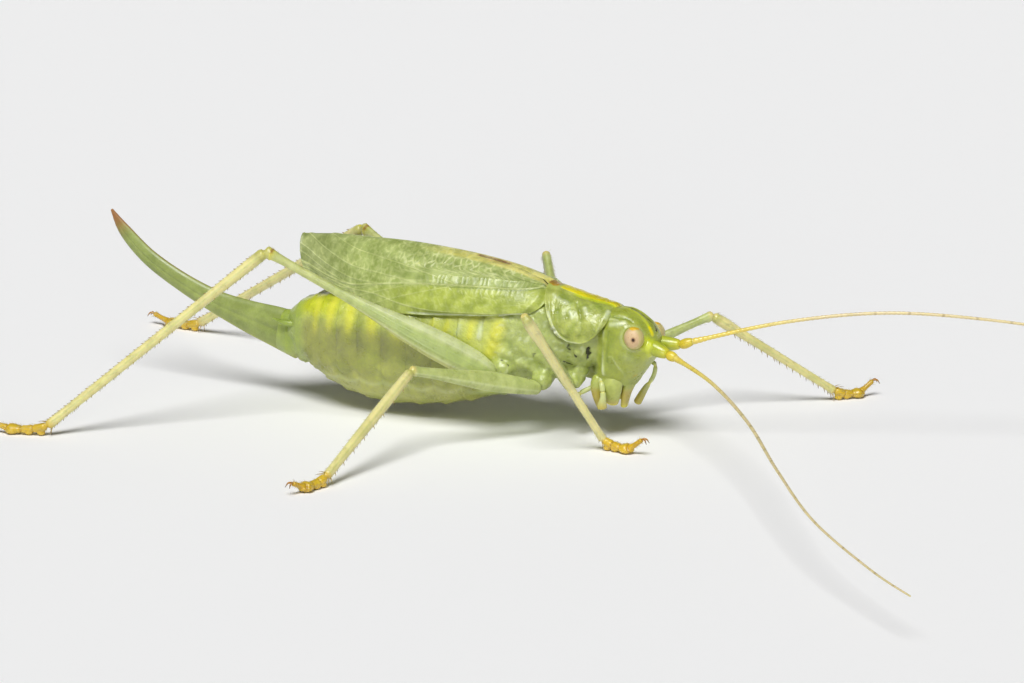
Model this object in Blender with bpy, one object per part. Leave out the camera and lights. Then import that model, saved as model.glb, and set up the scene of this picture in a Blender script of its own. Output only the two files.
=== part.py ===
"""Oak bush-cricket (a long-horned grasshopper), adult female, standing, at life size.

Shapes are worked out in millimetres with +X towards the head, +Y to the animal's left,
+Z up and the floor at zero, and turned to metres at the end. X is counted from the rear
edge of the pronotum until centre_on_floor puts the origin under the middle of the model.
"""

import math
from dataclasses import dataclass

import bmesh
import bpy
from mathutils import Matrix, Vector

MM = 0.001
GAP = 0.06  # between neighbouring pieces

# Eyes
EYE_CENTRE = Vector((4.02, -1.09, 4.40))
EYE_RADII = (0.44, 0.38, 0.47)

# Pronotum, the saddle over the front of the thorax
PRONOTUM_LENGTH = 2.95
PRONOTUM_HALF_WIDTH = 1.60
PRONOTUM_THICKNESS = 0.34
LOBE_SETBACK = 0.70

# Tegmina, the front wings folded as a roof
TEGMEN_TIP_X = -11.05
TEGMEN_THICKNESS = 0.50

# Abdomen and ovipositor
ABDOMEN_SIDES = 16
OVIPOSITOR_HALF_WIDTH = 0.27

# Feelers
FEELER_RADIUS = 0.25
ANTENNA_LENGTHS = 3

# Legs
COXA_RADII = {"fore": 0.40, "middle": 0.42, "hind": 0.50}
FEMUR_LENGTH = {"fore": 5.60, "middle": 5.75, "hind": 10.30}
TIBIA_LENGTH = {"fore": 6.60, "middle": 6.45, "hind": 11.25}
TARSUS_LENGTH = {"fore": 1.75, "middle": 1.75, "hind": 2.45}
HIP = {
    "fore": Vector((1.25, 1.05, 2.12)),
    "middle": Vector((0.05, 1.50, 2.03)),
    "hind": Vector((-1.70, 1.95, 2.50)),
}
COXA_ROOT = {
    "fore": Vector((1.55, 0.45, 3.00)),
    "middle": Vector((0.20, 0.70, 2.80)),
    "hind": Vector((-1.25, 0.95, 2.75)),
}
FEMUR_BOW = {"fore": 0.08, "middle": 0.0, "hind": 0.10}
ANKLE_HEIGHT = 0.40
TARSUS_HEIGHT = 0.24
TARSUS_RADIUS = 0.26
TIBIA_RADIUS = 0.25

BODY_GREEN = (0.36, 0.48, 0.15)
WING_GREEN = (0.33, 0.42, 0.18)
LEG_GREEN = (0.45, 0.56, 0.22)
STRAW = (0.66, 0.58, 0.25)
OCHRE = (0.62, 0.38, 0.06)
EYE_PINK = (0.66, 0.42, 0.28)


def material(name, colour, roughness=0.4):
    """A Principled material of one colour, made once for each name."""
    made = bpy.data.materials.get(name)
    if made is None:
        made = bpy.data.materials.new(name)
        made.use_nodes = True
        shader = made.node_tree.nodes["Principled BSDF"]
        shader.inputs["Base Color"].default_value = (*colour, 1.0)
        shader.inputs["Roughness"].default_value = roughness
        shader.inputs["Metallic"].default_value = 0.0
    return made


def blend(keys, t):
    """The value at t, from 0 to 1, of a smooth curve through evenly spaced keys."""
    place = min(max(t, 0.0), 1.0) * (len(keys) - 1)
    i = min(int(place), len(keys) - 2)
    f = place - i
    a, b = keys[max(i - 1, 0)], keys[i]
    c, d = keys[i + 1], keys[min(i + 2, len(keys) - 1)]
    return 0.5 * (
        2 * b + (c - a) * f + (2 * a - 5 * b + 4 * c - d) * f**2 + (3 * b - a - 3 * c + d) * f**3
    )


def part(name, verts, faces, finish):
    """A new object with outward normals and smooth shading."""
    mesh = bpy.data.meshes.new(name)
    mesh.from_pydata([tuple(v) for v in verts], [], faces)
    work = bmesh.new()
    work.from_mesh(mesh)
    bmesh.ops.recalc_face_normals(work, faces=work.faces)
    work.to_mesh(mesh)
    work.free()
    mesh.shade_smooth()
    mesh.materials.append(finish)
    made = bpy.data.objects.new(name, mesh)
    bpy.context.collection.objects.link(made)
    return made


def ring(centre, side, up, half_width, rise, drop, sides, power=2.0):
    """One cross-section, a superellipse with its own height above and below its centre."""
    points = []
    for i in range(sides):
        angle = 2 * math.pi * i / sides
        across = math.copysign(abs(math.cos(angle)) ** (2 / power), math.cos(angle))
        along = math.copysign(abs(math.sin(angle)) ** (2 / power), math.sin(angle))
        height = rise if along >= 0 else drop
        points.append(centre + side * across * half_width + up * along * height)
    return points


def loft(name, rings, first_pole, last_pole, finish):
    """A closed solid through the rings, with a point at each end."""
    sides = len(rings[0])
    verts = [p for points in rings for p in points] + [first_pole, last_pole]
    faces = []
    for r in range(len(rings) - 1):
        for i in range(sides):
            j = (i + 1) % sides
            faces.append((r * sides + i, r * sides + j, (r + 1) * sides + j, (r + 1) * sides + i))
    last = (len(rings) - 1) * sides
    for i in range(sides):
        j = (i + 1) % sides
        faces.append((i, j, len(verts) - 2))
        faces.append((last + i, last + j, len(verts) - 1))
    return part(name, verts, faces, finish)


def tube(name, path, widths, heights, up, finish, rings=8, sides=8, dome=0.6):
    """A limb along a smooth path, with half widths across it and half heights towards up."""
    sections = []
    centres = [blend(path, r / (rings - 1)) for r in range(rings)]
    for r, centre in enumerate(centres):
        ahead = centres[min(r + 1, rings - 1)] - centres[max(r - 1, 0)]
        ahead.normalize()
        side = ahead.cross(up).normalized()
        rise = side.cross(ahead)
        t = r / (rings - 1)
        sections.append((centre, ahead, side, rise, blend(widths, t), blend(heights, t)))
    shapes = []
    for centre, ahead, side, rise, wide, high in sections:
        shapes.append(ring(centre, side, rise, wide, high, high, sides))
    ends = []
    for (centre, ahead, side, rise, wide, high), way in ((sections[0], -1), (sections[-1], 1)):
        reach = dome * min(wide, high) * way
        step = ring(
            centre + ahead * reach * 0.7, side, rise, wide * 0.72, high * 0.72, high * 0.72, sides
        )
        ends.append((step, centre + ahead * reach))
    shapes = [ends[0][0], *shapes, ends[1][0]]
    return loft(name, shapes, ends[0][1], ends[1][1], finish)


def shell(name, outer, inner, columns, rows, finish):
    """A closed curved plate between an outer and an inner surface of u and v."""
    verts = []
    for surface in (outer, inner):
        for r in range(rows + 1):
            verts += [surface(c / columns, r / rows) for c in range(columns + 1)]
    width = columns + 1
    below = width * (rows + 1)
    faces = []
    for r in range(rows):
        for c in range(columns):
            a, b = r * width + c, r * width + c + 1
            faces.append((a, b, b + width, a + width))
            faces.append((below + a, below + a + width, below + b + width, below + b))
    edge = [(c, c + 1) for c in range(columns)]
    edge += [(r * width + columns, (r + 1) * width + columns) for r in range(rows)]
    edge += [(rows * width + c + 1, rows * width + c) for c in reversed(range(columns))]
    edge += [((r + 1) * width, r * width) for r in reversed(range(rows))]
    faces += [(a, below + a, below + b, b) for a, b in edge]
    return part(name, verts, faces, finish)


def grown(piece, amount):
    """A hidden copy of a piece, swollen by amount, to cut clearance with."""
    copy = piece.copy()
    copy.data = piece.data.copy()
    bpy.context.collection.objects.link(copy)
    normals = [v.normal.copy() for v in copy.data.vertices]
    for vert, normal in zip(copy.data.vertices, normals):
        vert.co += normal * amount
    copy.hide_render = True
    copy.display_type = "WIRE"
    return copy


def largest_island(mesh):
    """Drops every loose bit of a mesh but the largest."""
    work = bmesh.new()
    work.from_mesh(mesh)
    left = set(work.verts)
    islands = []
    while left:
        found = [left.pop()]
        for vert in found:
            near = {edge.other_vert(vert) for edge in vert.link_edges} & left
            left -= near
            found += near
        islands.append(found)
    islands.sort(key=len)
    for loose in islands[:-1]:
        bmesh.ops.delete(work, geom=loose, context="VERTS")
    work.to_mesh(mesh)
    work.free()


def clear_of(piece, neighbours):
    """Cuts a piece back so that a thin gap is left to each neighbour."""
    for neighbour in neighbours:
        cutter = grown(neighbour, GAP)
        cut = piece.modifiers.new("clearance", "BOOLEAN")
        cut.operation = "DIFFERENCE"
        cut.solver = "EXACT"
        cut.object = cutter
        graph = bpy.context.evaluated_depsgraph_get()
        mesh = bpy.data.meshes.new_from_object(piece.evaluated_get(graph))
        piece.modifiers.remove(cut)
        piece.data = mesh
        bpy.data.objects.remove(cutter)
        largest_island(mesh)
        mesh.name = piece.name
    return piece


def mirrored(point, side):
    """The point on the animal's left for side 1, and on its right for side -1."""
    return Vector((point[0], point[1] * side, point[2]))


# ---------------------------------------------------------------- head

# Front edge, rear edge and half width of the head, from its crown down to the mouth.
HEAD_HEIGHTS = (5.47, 5.27, 4.92, 4.50, 4.00, 3.50, 3.00, 2.60, 2.32)
HEAD_FRONT = (3.45, 3.92, 4.38, 4.66, 4.72, 4.50, 4.18, 3.92, 3.74)
HEAD_REAR = (2.75, 2.35, 2.10, 2.02, 2.05, 2.12, 2.25, 2.42, 2.70)
HEAD_HALF_WIDTH = (0.42, 0.78, 1.08, 1.24, 1.28, 1.24, 1.12, 0.96, 0.72)


def build_head(finish):
    """The capsule, as level slices."""
    slices = 11
    rings = []
    for r in range(slices):
        t = r / (slices - 1)
        front, rear = blend(HEAD_FRONT, t), blend(HEAD_REAR, t)
        centre = Vector(((front + rear) / 2, 0, blend(HEAD_HEIGHTS, t)))
        half = (front - rear) / 2
        width = blend(HEAD_HALF_WIDTH, t)
        rings.append(ring(centre, Vector((0, 1, 0)), Vector((1, 0, 0)), width, half, half, 18, 2.2))
    crown = Vector((3.10, 0, HEAD_HEIGHTS[0] + 0.05))
    chin = Vector((3.20, 0, HEAD_HEIGHTS[-1] - 0.04))
    return loft("head", rings, crown, chin, finish)


def build_eye(side, finish):
    """An egg-shaped compound eye."""
    centre = mirrored(EYE_CENTRE, -side)
    mesh = bpy.data.meshes.new("eye")
    work = bmesh.new()
    bmesh.ops.create_uvsphere(work, u_segments=12, v_segments=7, radius=1.0)
    bmesh.ops.scale(work, vec=EYE_RADII, verts=work.verts)
    bmesh.ops.translate(work, vec=centre, verts=work.verts)
    work.to_mesh(mesh)
    work.free()
    mesh.shade_smooth()
    mesh.materials.append(finish)
    made = bpy.data.objects.new("eye_left" if side > 0 else "eye_right", mesh)
    bpy.context.collection.objects.link(made)
    return made


def build_mouth(finish):
    """The upper lip, the two mandibles and the lower lip with the maxillae."""
    front = Vector((0, 1, 0))
    labrum = tube(
        "labrum",
        [Vector((3.62, 0, 2.30)), Vector((3.55, 0, 1.92)), Vector((3.38, 0, 1.50))],
        (0.46, 0.48, 0.30), (0.26, 0.26, 0.20), Vector((1, 0, 0)), finish, rings=5,
    )
    mandibles = []
    for side, name in ((-1, "mandible_right"), (1, "mandible_left")):
        path = [(3.05, 0.74, 2.62), (3.08, 0.66, 2.05), (3.12, 0.40, 1.58)]
        path = [mirrored(p, side) for p in path]
        mandibles.append(
            tube(name, path, (0.40, 0.40, 0.20), (0.27, 0.28, 0.20), front, finish, rings=5)
        )
    labium = tube(
        "labium",
        [Vector((2.62, 0, 2.50)), Vector((2.52, 0, 1.95)), Vector((2.62, 0, 1.35))],
        (0.62, 0.52, 0.30), (0.28, 0.26, 0.22), Vector((1, 0, 0)), finish, rings=5,
    )
    return labrum, mandibles, labium


def build_palps(finish):
    """The long palps of the maxillae and the short palps of the lower lip."""
    routes = {
        "palp_maxillary_right": [(2.98, -0.92, 2.34), (2.96, -1.08, 1.90), (2.74, -1.18, 1.58),
                                 (2.64, -1.12, 1.30)],
        "palp_maxillary_left": [(3.02, 0.90, 2.36), (3.52, 1.14, 2.78), (4.04, 1.06, 2.58),
                                (3.82, 0.92, 1.82), (3.38, 0.80, 1.26)],
        "palp_labial_right": [(2.36, -0.56, 1.96), (1.84, -0.78, 1.82), (1.48, -0.88, 1.52),
                              (1.72, -0.92, 1.16)],
        "palp_labial_left": [(2.36, 0.56, 1.96), (1.94, 0.84, 1.78), (1.90, 0.98, 1.44),
                             (2.18, 0.98, 1.12)],
    }
    palps = []
    for name, route in routes.items():
        path = [Vector(p) for p in route]
        radii = (0.25, 0.25, 0.25, 0.27)
        palps.append(tube(name, path, radii, radii, Vector((0.2, 1, 0.1)), finish, rings=7))
    return palps


# ------------------------------------------------------------ antennae

# Scape and pedicel, then the flagellum's own route, on each side.
ANTENNA_BASE = {
    "right": [(4.52, -0.34, 3.96), (4.95, -0.40, 3.84), (5.48, -0.52, 3.64)],
    "left": [(4.52, 0.34, 3.96), (5.05, 0.38, 3.97), (5.72, 0.47, 4.12)],
}
ANTENNA_ROUTE = {
    "right": [(5.48, -0.52, 3.64), (8.15, -3.00, 3.45), (11.10, -6.65, 3.10),
              (14.15, -11.35, 2.75), (17.30, -15.80, 2.38), (20.90, -19.55, 2.02),
              (23.10, -21.45, 1.85)],
    "left": [(5.72, 0.47, 4.12), (9.40, 1.58, 5.00), (13.10, 3.00, 5.42), (16.80, 4.45, 5.20),
             (20.60, 6.00, 4.60), (24.40, 7.65, 3.75), (28.00, 9.30, 2.80)],
}


def build_antenna(side, base_finish, finish):
    """A thick base and the flagellum in a few lengths, parted by thin cuts."""
    up = Vector((0, 0, 1))
    base_path = [Vector(p) for p in ANTENNA_BASE[side]]
    swell = (0.36, 0.31, 0.27)
    pieces = [tube(f"antenna_{side}_base", base_path, swell, swell, up, base_finish, rings=6)]
    route = [Vector(p) for p in ANTENNA_ROUTE[side]]
    length = sum((b - a).length for a, b in zip(route, route[1:]))
    cut = (FEELER_RADIUS * 1.2 + GAP) / length
    start = 1.2 * cut
    for n in range(ANTENNA_LENGTHS):
        first = start + (1 - start) * n / ANTENNA_LENGTHS
        last = start + (1 - start) * (n + 1) / ANTENNA_LENGTHS
        last -= cut if n < ANTENNA_LENGTHS - 1 else 0
        path = [blend(route, first + (last - first) * k / 4) for k in range(5)]
        radii = (FEELER_RADIUS,) * 3
        name = f"antenna_{side}_{n + 1}"
        pieces.append(tube(name, path, radii, radii, up, finish, rings=5))
    clear_of(pieces[1], [pieces[0]])
    return pieces


# --------------------------------------------------------------- trunk

# Height of the back, height of the underside and half width, from front to rear.
THORAX_X = (2.55, 1.90, 1.00, 0.00, -1.10, -2.25)
THORAX_TOP = (5.00, 5.25, 5.42, 5.45, 5.35, 5.20)
THORAX_FLOOR = (3.20, 2.82, 2.45, 2.02, 1.58, 1.22)
THORAX_HALF_WIDTH = (0.95, 1.25, 1.42, 1.48, 1.55, 1.62)

ABDOMEN_X = (-2.31, -4.00, -5.80, -7.50, -9.00, -10.20, -11.00, -11.45)
ABDOMEN_TOP = (5.18, 5.06, 5.02, 4.95, 4.80, 4.58, 4.22, 3.85)
ABDOMEN_FLOOR = (1.20, 0.74, 0.50, 0.50, 0.85, 1.40, 1.85, 2.30)
ABDOMEN_HALF_WIDTH = (1.62, 1.88, 1.95, 1.90, 1.68, 1.30, 0.95, 0.62)


def trunk(name, places, tops, floors, widths, power, slices, sides, finish):
    """A stretch of the body as upright slices."""
    rings = []
    for r in range(slices):
        t = r / (slices - 1)
        top, floor = blend(tops, t), blend(floors, t)
        middle = floor + (top - floor) * 0.48
        centre = Vector((blend(places, t), 0, middle))
        side, up = Vector((0, 1, 0)), Vector((0, 0, 1))
        rings.append(
            ring(centre, side, up, blend(widths, t), top - middle, middle - floor, sides, power)
        )
    first = Vector((places[0], 0, (tops[0] + floors[0]) / 2))
    last = Vector((places[-1] - 0.03, 0, (tops[-1] + floors[-1]) / 2))
    return loft(name, rings, first, last, finish)


# Height of the ridge and of the lower edge of each side lobe, from rear to front.
PRONOTUM_RIDGE = (6.05, 5.88, 5.66, 5.52)
LOBE_EDGE = (4.70, 4.16, 4.04, 4.14, 4.50)


def build_pronotum(finish):
    """The saddle, with a rounded lobe down each side and its rear edge drawn back on top."""

    def surface(inset):
        def point(u, v):
            side = 2 * v - 1
            fall = abs(side)
            rear = LOBE_SETBACK * fall**2
            front = PRONOTUM_LENGTH - 0.35 * fall**4
            x = rear + (front - rear) * u
            waist = 4.50
            ridge = blend(PRONOTUM_RIDGE, x / PRONOTUM_LENGTH) - inset
            turn = math.acos((blend(LOBE_EDGE, u) - waist) / 1.3) if u > 0.02 else 1.5
            angle = turn * fall
            radius = (ridge - waist) if angle < math.pi / 2 else 1.3
            collar = 1.0 - 0.16 * u**2
            width = PRONOTUM_HALF_WIDTH * collar - inset
            y = math.copysign(width * math.sin(angle), side)
            return Vector((x, y, waist + radius * math.cos(angle)))

        return point

    return shell("pronotum", surface(0.0), surface(PRONOTUM_THICKNESS), 7, 14, finish)


# Height of the ridge, height and reach of the lower edge, from the base to the tip.
TEGMEN_RIDGE = (6.08, 6.56, 6.85, 7.02, 7.12, 7.13, 7.12, 7.00)
TEGMEN_EDGE = (5.00, 4.82, 4.72, 4.62, 4.60, 4.80, 5.20, 5.82)
TEGMEN_REACH = (1.62, 1.80, 1.88, 1.86, 1.72, 1.42, 1.02, 0.66)


def build_tegmen(side, finish):
    """One half of the wing roof, from the ridge down to its lower edge."""

    def surface(inset):
        def point(u, v):
            base = -0.08 + 1.6 * v * (1 - v) - 0.45 * v**3
            tip = TEGMEN_TIP_X + 0.60 * v**3
            x = base + (tip - base) * u
            ridge, edge, reach = (
                blend(keys, u) for keys in (TEGMEN_RIDGE, TEGMEN_EDGE, TEGMEN_REACH)
            )
            angle = v * math.pi / 2
            thin = inset * (1 - 0.25 * u**3)
            y = (reach - thin) * math.sin(angle) ** 1.15
            z = edge + (ridge - edge) * math.cos(angle) ** 1.15 - thin * math.cos(angle)
            return Vector((x, side * (GAP / 2 + y), z))

        return point

    name = "tegmen_left" if side > 0 else "tegmen_right"
    return shell(name, surface(0.0), surface(TEGMEN_THICKNESS), 11, 5, finish)


# Middle line, half height and half width of the ovipositor, from its root to its point.
OVIPOSITOR_LINE = (
    (-10.95, 2.50), (-12.10, 2.86), (-13.50, 3.20), (-15.00, 3.66),
    (-16.60, 4.36), (-18.13, 5.25), (-19.25, 6.28), (-19.88, 7.16),
)
OVIPOSITOR_HALF_HEIGHT = (1.00, 0.92, 0.73, 0.53, 0.42, 0.37, 0.30, 0.12)


def build_ovipositor(finish):
    """The upcurved sabre at the end of the abdomen."""
    path = [Vector((x, 0, z)) for x, z in OVIPOSITOR_LINE]
    widths = (0.52, 0.46, 0.34, 0.29, OVIPOSITOR_HALF_WIDTH, OVIPOSITOR_HALF_WIDTH, 0.26, 0.25)
    return tube(
        "ovipositor", path, widths, OVIPOSITOR_HALF_HEIGHT, Vector((0, 0, 1)), finish,
        rings=12, sides=10,
    )


def build_cercus(side, finish):
    """A short curved feeler beside the ovipositor."""
    route = [(-11.00, 0.62, 3.30), (-11.55, 0.74, 3.34), (-12.10, 0.72, 3.44)]
    path = [mirrored(p, side) for p in route]
    radii = (0.26, 0.25, 0.22)
    name = "cercus_left" if side > 0 else "cercus_right"
    return tube(name, path, radii, radii, Vector((0, 0, 1)), finish, rings=5)


# ---------------------------------------------------------------- legs

# Half depth and half thickness of each femur from hip to knee.
FEMUR_DEPTH = {
    "fore": (0.28, 0.32, 0.30, 0.27, 0.27),
    "middle": (0.29, 0.32, 0.31, 0.26, 0.25),
    "hind": (0.34, 0.58, 0.68, 0.64, 0.44, 0.30, 0.26, 0.25, 0.28),
}
FEMUR_THICKNESS = {
    "fore": (0.27, 0.28, 0.27, 0.26, 0.26),
    "middle": (0.27, 0.28, 0.27, 0.26, 0.26),
    "hind": (0.30, 0.38, 0.42, 0.38, 0.31, 0.27, 0.25, 0.25, 0.27),
}


@dataclass
class Leg:
    """A leg's pose: compass angles from +X towards +Y, and the femur's slope, in degrees."""

    pair: str
    side: int
    femur_turn: float
    femur_slope: float
    tibia_turn: float
    foot_turn: float

    def name(self, segment):
        """The node name of one of the leg's segments."""
        return f"{self.pair}_{'left' if self.side > 0 else 'right'}_{segment}"

    def joints(self):
        """The hip, the knee and the ankle."""
        hip = mirrored(HIP[self.pair], self.side)
        knee = hip + heading(self.femur_turn, self.femur_slope) * FEMUR_LENGTH[self.pair]
        length = TIBIA_LENGTH[self.pair]
        slope = math.degrees(math.asin((ANKLE_HEIGHT - knee.z) / length))
        return hip, knee, knee + heading(self.tibia_turn, slope) * length


LEGS = (
    Leg("fore", -1, 268.0, 42.5, 55.0, -6.0),
    Leg("fore", 1, 45.5, 19.0, 44.0, 47.0),
    Leg("middle", -1, 231.0, 14.0, 259.0, 248.0),
    Leg("middle", 1, 125.5, 41.5, 100.0, 118.0),
    Leg("hind", -1, 195.0, 27.2, 214.0, 191.0),
    Leg("hind", 1, 160.5, 20.5, 162.5, 171.0),
)


def heading(turn, slope=0.0):
    """The unit vector of a compass angle and a slope in degrees."""
    turn, slope = math.radians(turn), math.radians(slope)
    flat = math.cos(slope)
    return Vector((math.cos(turn) * flat, math.sin(turn) * flat, math.sin(slope)))


def build_leg(leg, body, green, straw, ochre):
    """Coxa, femur, tibia and tarsus, each cut to fit round the end of the one before it."""
    hip, knee, ankle = leg.joints()
    along = (knee - hip).normalized()
    down = (ankle - knee).normalized()
    fold = (down - along * down.dot(along)).normalized()

    root = mirrored(COXA_ROOT[leg.pair], leg.side)
    wide = COXA_RADII[leg.pair]
    radii = (wide, wide, wide * 0.74)
    path = [root, root.lerp(hip, 0.55), hip]
    coxa = tube(leg.name("coxa"), path, radii, radii, Vector((1, 0, 0)), green, rings=5)
    clear_of(coxa, body)

    path = [hip, hip.lerp(knee, 0.5) - fold * FEMUR_BOW[leg.pair], knee]
    femur = tube(
        leg.name("femur"), path, FEMUR_THICKNESS[leg.pair], FEMUR_DEPTH[leg.pair], fold, green,
        rings=11 if leg.pair == "hind" else 6, dome=0.8,
    )
    clear_of(femur, [coxa])

    start = knee + along * 0.22 + fold * 0.26
    path = [start, start.lerp(ankle, 0.5), ankle]
    radii = (TIBIA_RADIUS,) * 3
    tibia = tube(leg.name("tibia"), path, radii, radii, along, straw, rings=5)
    clear_of(tibia, [femur])

    toe = heading(leg.foot_turn)
    length = TARSUS_LENGTH[leg.pair]
    floor = Vector((ankle.x, ankle.y, TARSUS_HEIGHT))
    path = [ankle, floor + toe * 0.40, floor + toe * length * 0.7, floor + toe * length]
    widths = (0.25, TARSUS_RADIUS, TARSUS_RADIUS, 0.25)
    tarsus = tube(
        leg.name("tarsus"), path, widths, widths, Vector((0, 0, 1)), ochre,
        rings=6, sides=10, dome=0.4,
    )
    clear_of(tarsus, [tibia])
    for vert in tarsus.data.vertices:
        vert.co.z = max(vert.co.z, 0.0)


# ------------------------------------------------------------ the whole


def centre_on_floor(objects):
    """Turns millimetres to metres, with the origin under the middle of the model's box."""
    points = [v.co for made in objects for v in made.data.vertices]
    middle = [(min(p[i] for p in points) + max(p[i] for p in points)) / 2 for i in (0, 1)]
    place = Matrix.Scale(MM, 4) @ Matrix.Translation((-middle[0], -middle[1], 0.0))
    for made in objects:
        made.data.transform(place)


def main():
    for old in list(bpy.data.objects):
        bpy.data.objects.remove(old)

    green = material("cuticle_green", BODY_GREEN)
    wing = material("wing_green", WING_GREEN, 0.5)
    leg_green = material("leg_green", LEG_GREEN)
    straw = material("straw_cuticle", STRAW)
    ochre = material("ochre_cuticle", OCHRE)
    pink = material("eye_pink", EYE_PINK, 0.25)

    eyes = [build_eye(side, pink) for side in (-1, 1)]
    antennae = {side: build_antenna(side, green, straw) for side in ("right", "left")}
    labrum, mandibles, labium = build_mouth(green)
    palps = build_palps(green)
    pronotum = build_pronotum(green)
    tegmina = [clear_of(build_tegmen(side, wing), [pronotum]) for side in (-1, 1)]
    ovipositor = build_ovipositor(green)
    cerci = [clear_of(build_cercus(side, green), [ovipositor]) for side in (-1, 1)]

    thorax = trunk(
        "thorax", THORAX_X, THORAX_TOP, THORAX_FLOOR, THORAX_HALF_WIDTH, 2.3, 7, 16, green
    )
    clear_of(thorax, [pronotum, *tegmina])
    abdomen = trunk(
        "abdomen", ABDOMEN_X, ABDOMEN_TOP, ABDOMEN_FLOOR, ABDOMEN_HALF_WIDTH, 2.3, 11,
        ABDOMEN_SIDES, green,
    )
    clear_of(abdomen, [thorax, *tegmina, ovipositor, *cerci])

    head = build_head(green)
    bases = [antennae[side][0] for side in ("right", "left")]
    clear_of(head, [*eyes, *bases, pronotum, thorax])
    clear_of(labrum, [head])
    for mandible in mandibles:
        clear_of(mandible, [head, labrum])
    clear_of(labium, [head, *mandibles])
    for palp in palps:
        clear_of(palp, [head, *mandibles, labium])

    for leg in LEGS:
        build_leg(leg, [thorax, abdomen, pronotum], leg_green, straw, ochre)

    centre_on_floor(list(bpy.context.collection.objects))


main()
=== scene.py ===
"""Looks of an adult female oak bush-cricket, standing, at life size.

Sizes are in millimetres with +X towards the head, +Y to the animal's left and the floor at
z = 0. X is counted from the rear edge of the pronotum. Rig.place turns them into the frame's
metres, from where the frame holds the right eye.
"""

import logging
import math
from collections.abc import Callable, Sequence
from dataclasses import dataclass, field
from enum import Enum
from typing import ClassVar, Protocol

import bpy
import numpy as np
from mathutils import Matrix, Vector


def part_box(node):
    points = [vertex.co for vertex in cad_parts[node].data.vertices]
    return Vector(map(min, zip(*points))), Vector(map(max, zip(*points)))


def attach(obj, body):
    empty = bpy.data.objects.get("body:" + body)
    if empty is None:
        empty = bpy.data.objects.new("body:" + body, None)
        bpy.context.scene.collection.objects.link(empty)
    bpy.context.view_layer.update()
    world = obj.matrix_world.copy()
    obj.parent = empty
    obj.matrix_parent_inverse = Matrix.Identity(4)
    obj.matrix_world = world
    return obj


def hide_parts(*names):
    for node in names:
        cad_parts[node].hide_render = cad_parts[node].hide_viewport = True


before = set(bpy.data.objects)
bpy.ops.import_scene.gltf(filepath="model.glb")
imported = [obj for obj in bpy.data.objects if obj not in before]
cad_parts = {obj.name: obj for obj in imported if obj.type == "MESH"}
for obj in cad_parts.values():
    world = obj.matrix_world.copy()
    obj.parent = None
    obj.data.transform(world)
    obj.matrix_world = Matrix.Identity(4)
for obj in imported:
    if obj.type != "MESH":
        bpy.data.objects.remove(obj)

logging.basicConfig(level=logging.INFO, format="%(message)s")
log = logging.getLogger("bush_cricket")

Array = np.ndarray
Masks = dict[str, Array]
Point = tuple[float, float, float]
Colour = tuple[float, float, float, float]
Socket = bpy.types.NodeSocket
# Both take the share along a limb, the angle round it and the millimetres along it.
Shape = Callable[[Array, Array, Array], Array]
Paint = Callable[[Array, Array, Array], Masks]
MM = 0.001
TURN = 2 * math.pi
UP = (0.0, 0.0, 1.0)
ROOT = "root"
SEED = 7


class Side(Enum):
    """The two sides of the animal, as the sign of Y."""

    RIGHT = -1
    LEFT = 1

    @property
    def word(self) -> str:
        """The side's name, as in the frame's nodes."""
        return self.name.lower()


class Pair(Enum):
    """The three pairs of legs."""

    FORE = "fore"
    MIDDLE = "middle"
    HIND = "hind"


# ---- curves and masks


def curve(keys: Sequence, t: Array | float) -> Array:
    """A smooth curve through evenly spaced keys.

    Args:
        keys: Numbers or points, two or more.
        t: Places along the curve, from 0 to 1.

    Returns:
        One value or point for each place.
    """
    keys = np.asarray(keys, float)
    place = np.clip(np.asarray(t, float), 0, 1) * (len(keys) - 1)
    i = np.minimum(place.astype(int), len(keys) - 2)
    f = place - i
    if keys.ndim > 1:
        f = f[..., None]
    a, b, c, d = (keys[np.clip(i + k, 0, len(keys) - 1)] for k in (-1, 0, 1, 2))
    bend = (2 * a - 5 * b + 4 * c - d) * f**2 + (3 * b - a - 3 * c + d) * f**3
    return 0.5 * (2 * b + (c - a) * f + bend)


def ramp(low: float, high: float, x: Array) -> Array:
    """A soft step from 0 at low to 1 at high, or down where low is the larger."""
    t = np.clip((x - low) / (high - low), 0, 1)
    return t * t * (3 - 2 * t)


def bell(x: Array, centre: float | Array, width: float | Array) -> Array:
    """A bell-shaped band round a centre."""
    return np.exp(-(((x - centre) / width) ** 2))


def off_route(points: Array, route: Sequence) -> Array:
    """The distance of each point from a route of straight runs, or from a single point.

    Args:
        points: The points, in their last axis.
        route: The corners of the route.

    Returns:
        The distances.
    """
    best = np.full(points.shape[:-1], np.inf)
    corners = np.asarray(route, float)
    for a, b in zip(corners, [*corners[1:], corners[-1]]):
        run = b - a
        s = np.clip(((points - a) @ run) / max(run @ run, 1e-12), 0, 1)
        best = np.minimum(best, np.linalg.norm(points - a - s[..., None] * run, axis=-1))
    return best


def ripple(points: Array, size: float) -> Array:
    """An irregular swell, mostly from -1 to 1, whose bumps are about one size across.

    Args:
        points: The points, in their last axis.
        size: How wide a bump is, in millimetres.

    Returns:
        The swell at each point.
    """
    rng = np.random.default_rng(round(size * 1000))
    total = np.zeros(points.shape[:-1])
    for _ in range(14):
        way = unit(rng.normal(size=3)) * rng.uniform(0.7, 1.4) * math.pi / size
        total += np.sin(points @ way + rng.uniform(0, TURN))
    return total / 5


def unit(vectors: Array) -> Array:
    """The vectors at length one."""
    size = np.linalg.norm(vectors, axis=-1, keepdims=True)
    return vectors / np.maximum(size, 1e-12)


def heading(turn: float, slope: float = 0.0) -> Array:
    """The unit vector of a compass angle from +X and a slope, in degrees."""
    turn, slope = math.radians(turn), math.radians(slope)
    flat = math.cos(slope)
    return np.array([math.cos(turn) * flat, math.sin(turn) * flat, math.sin(slope)])


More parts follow.
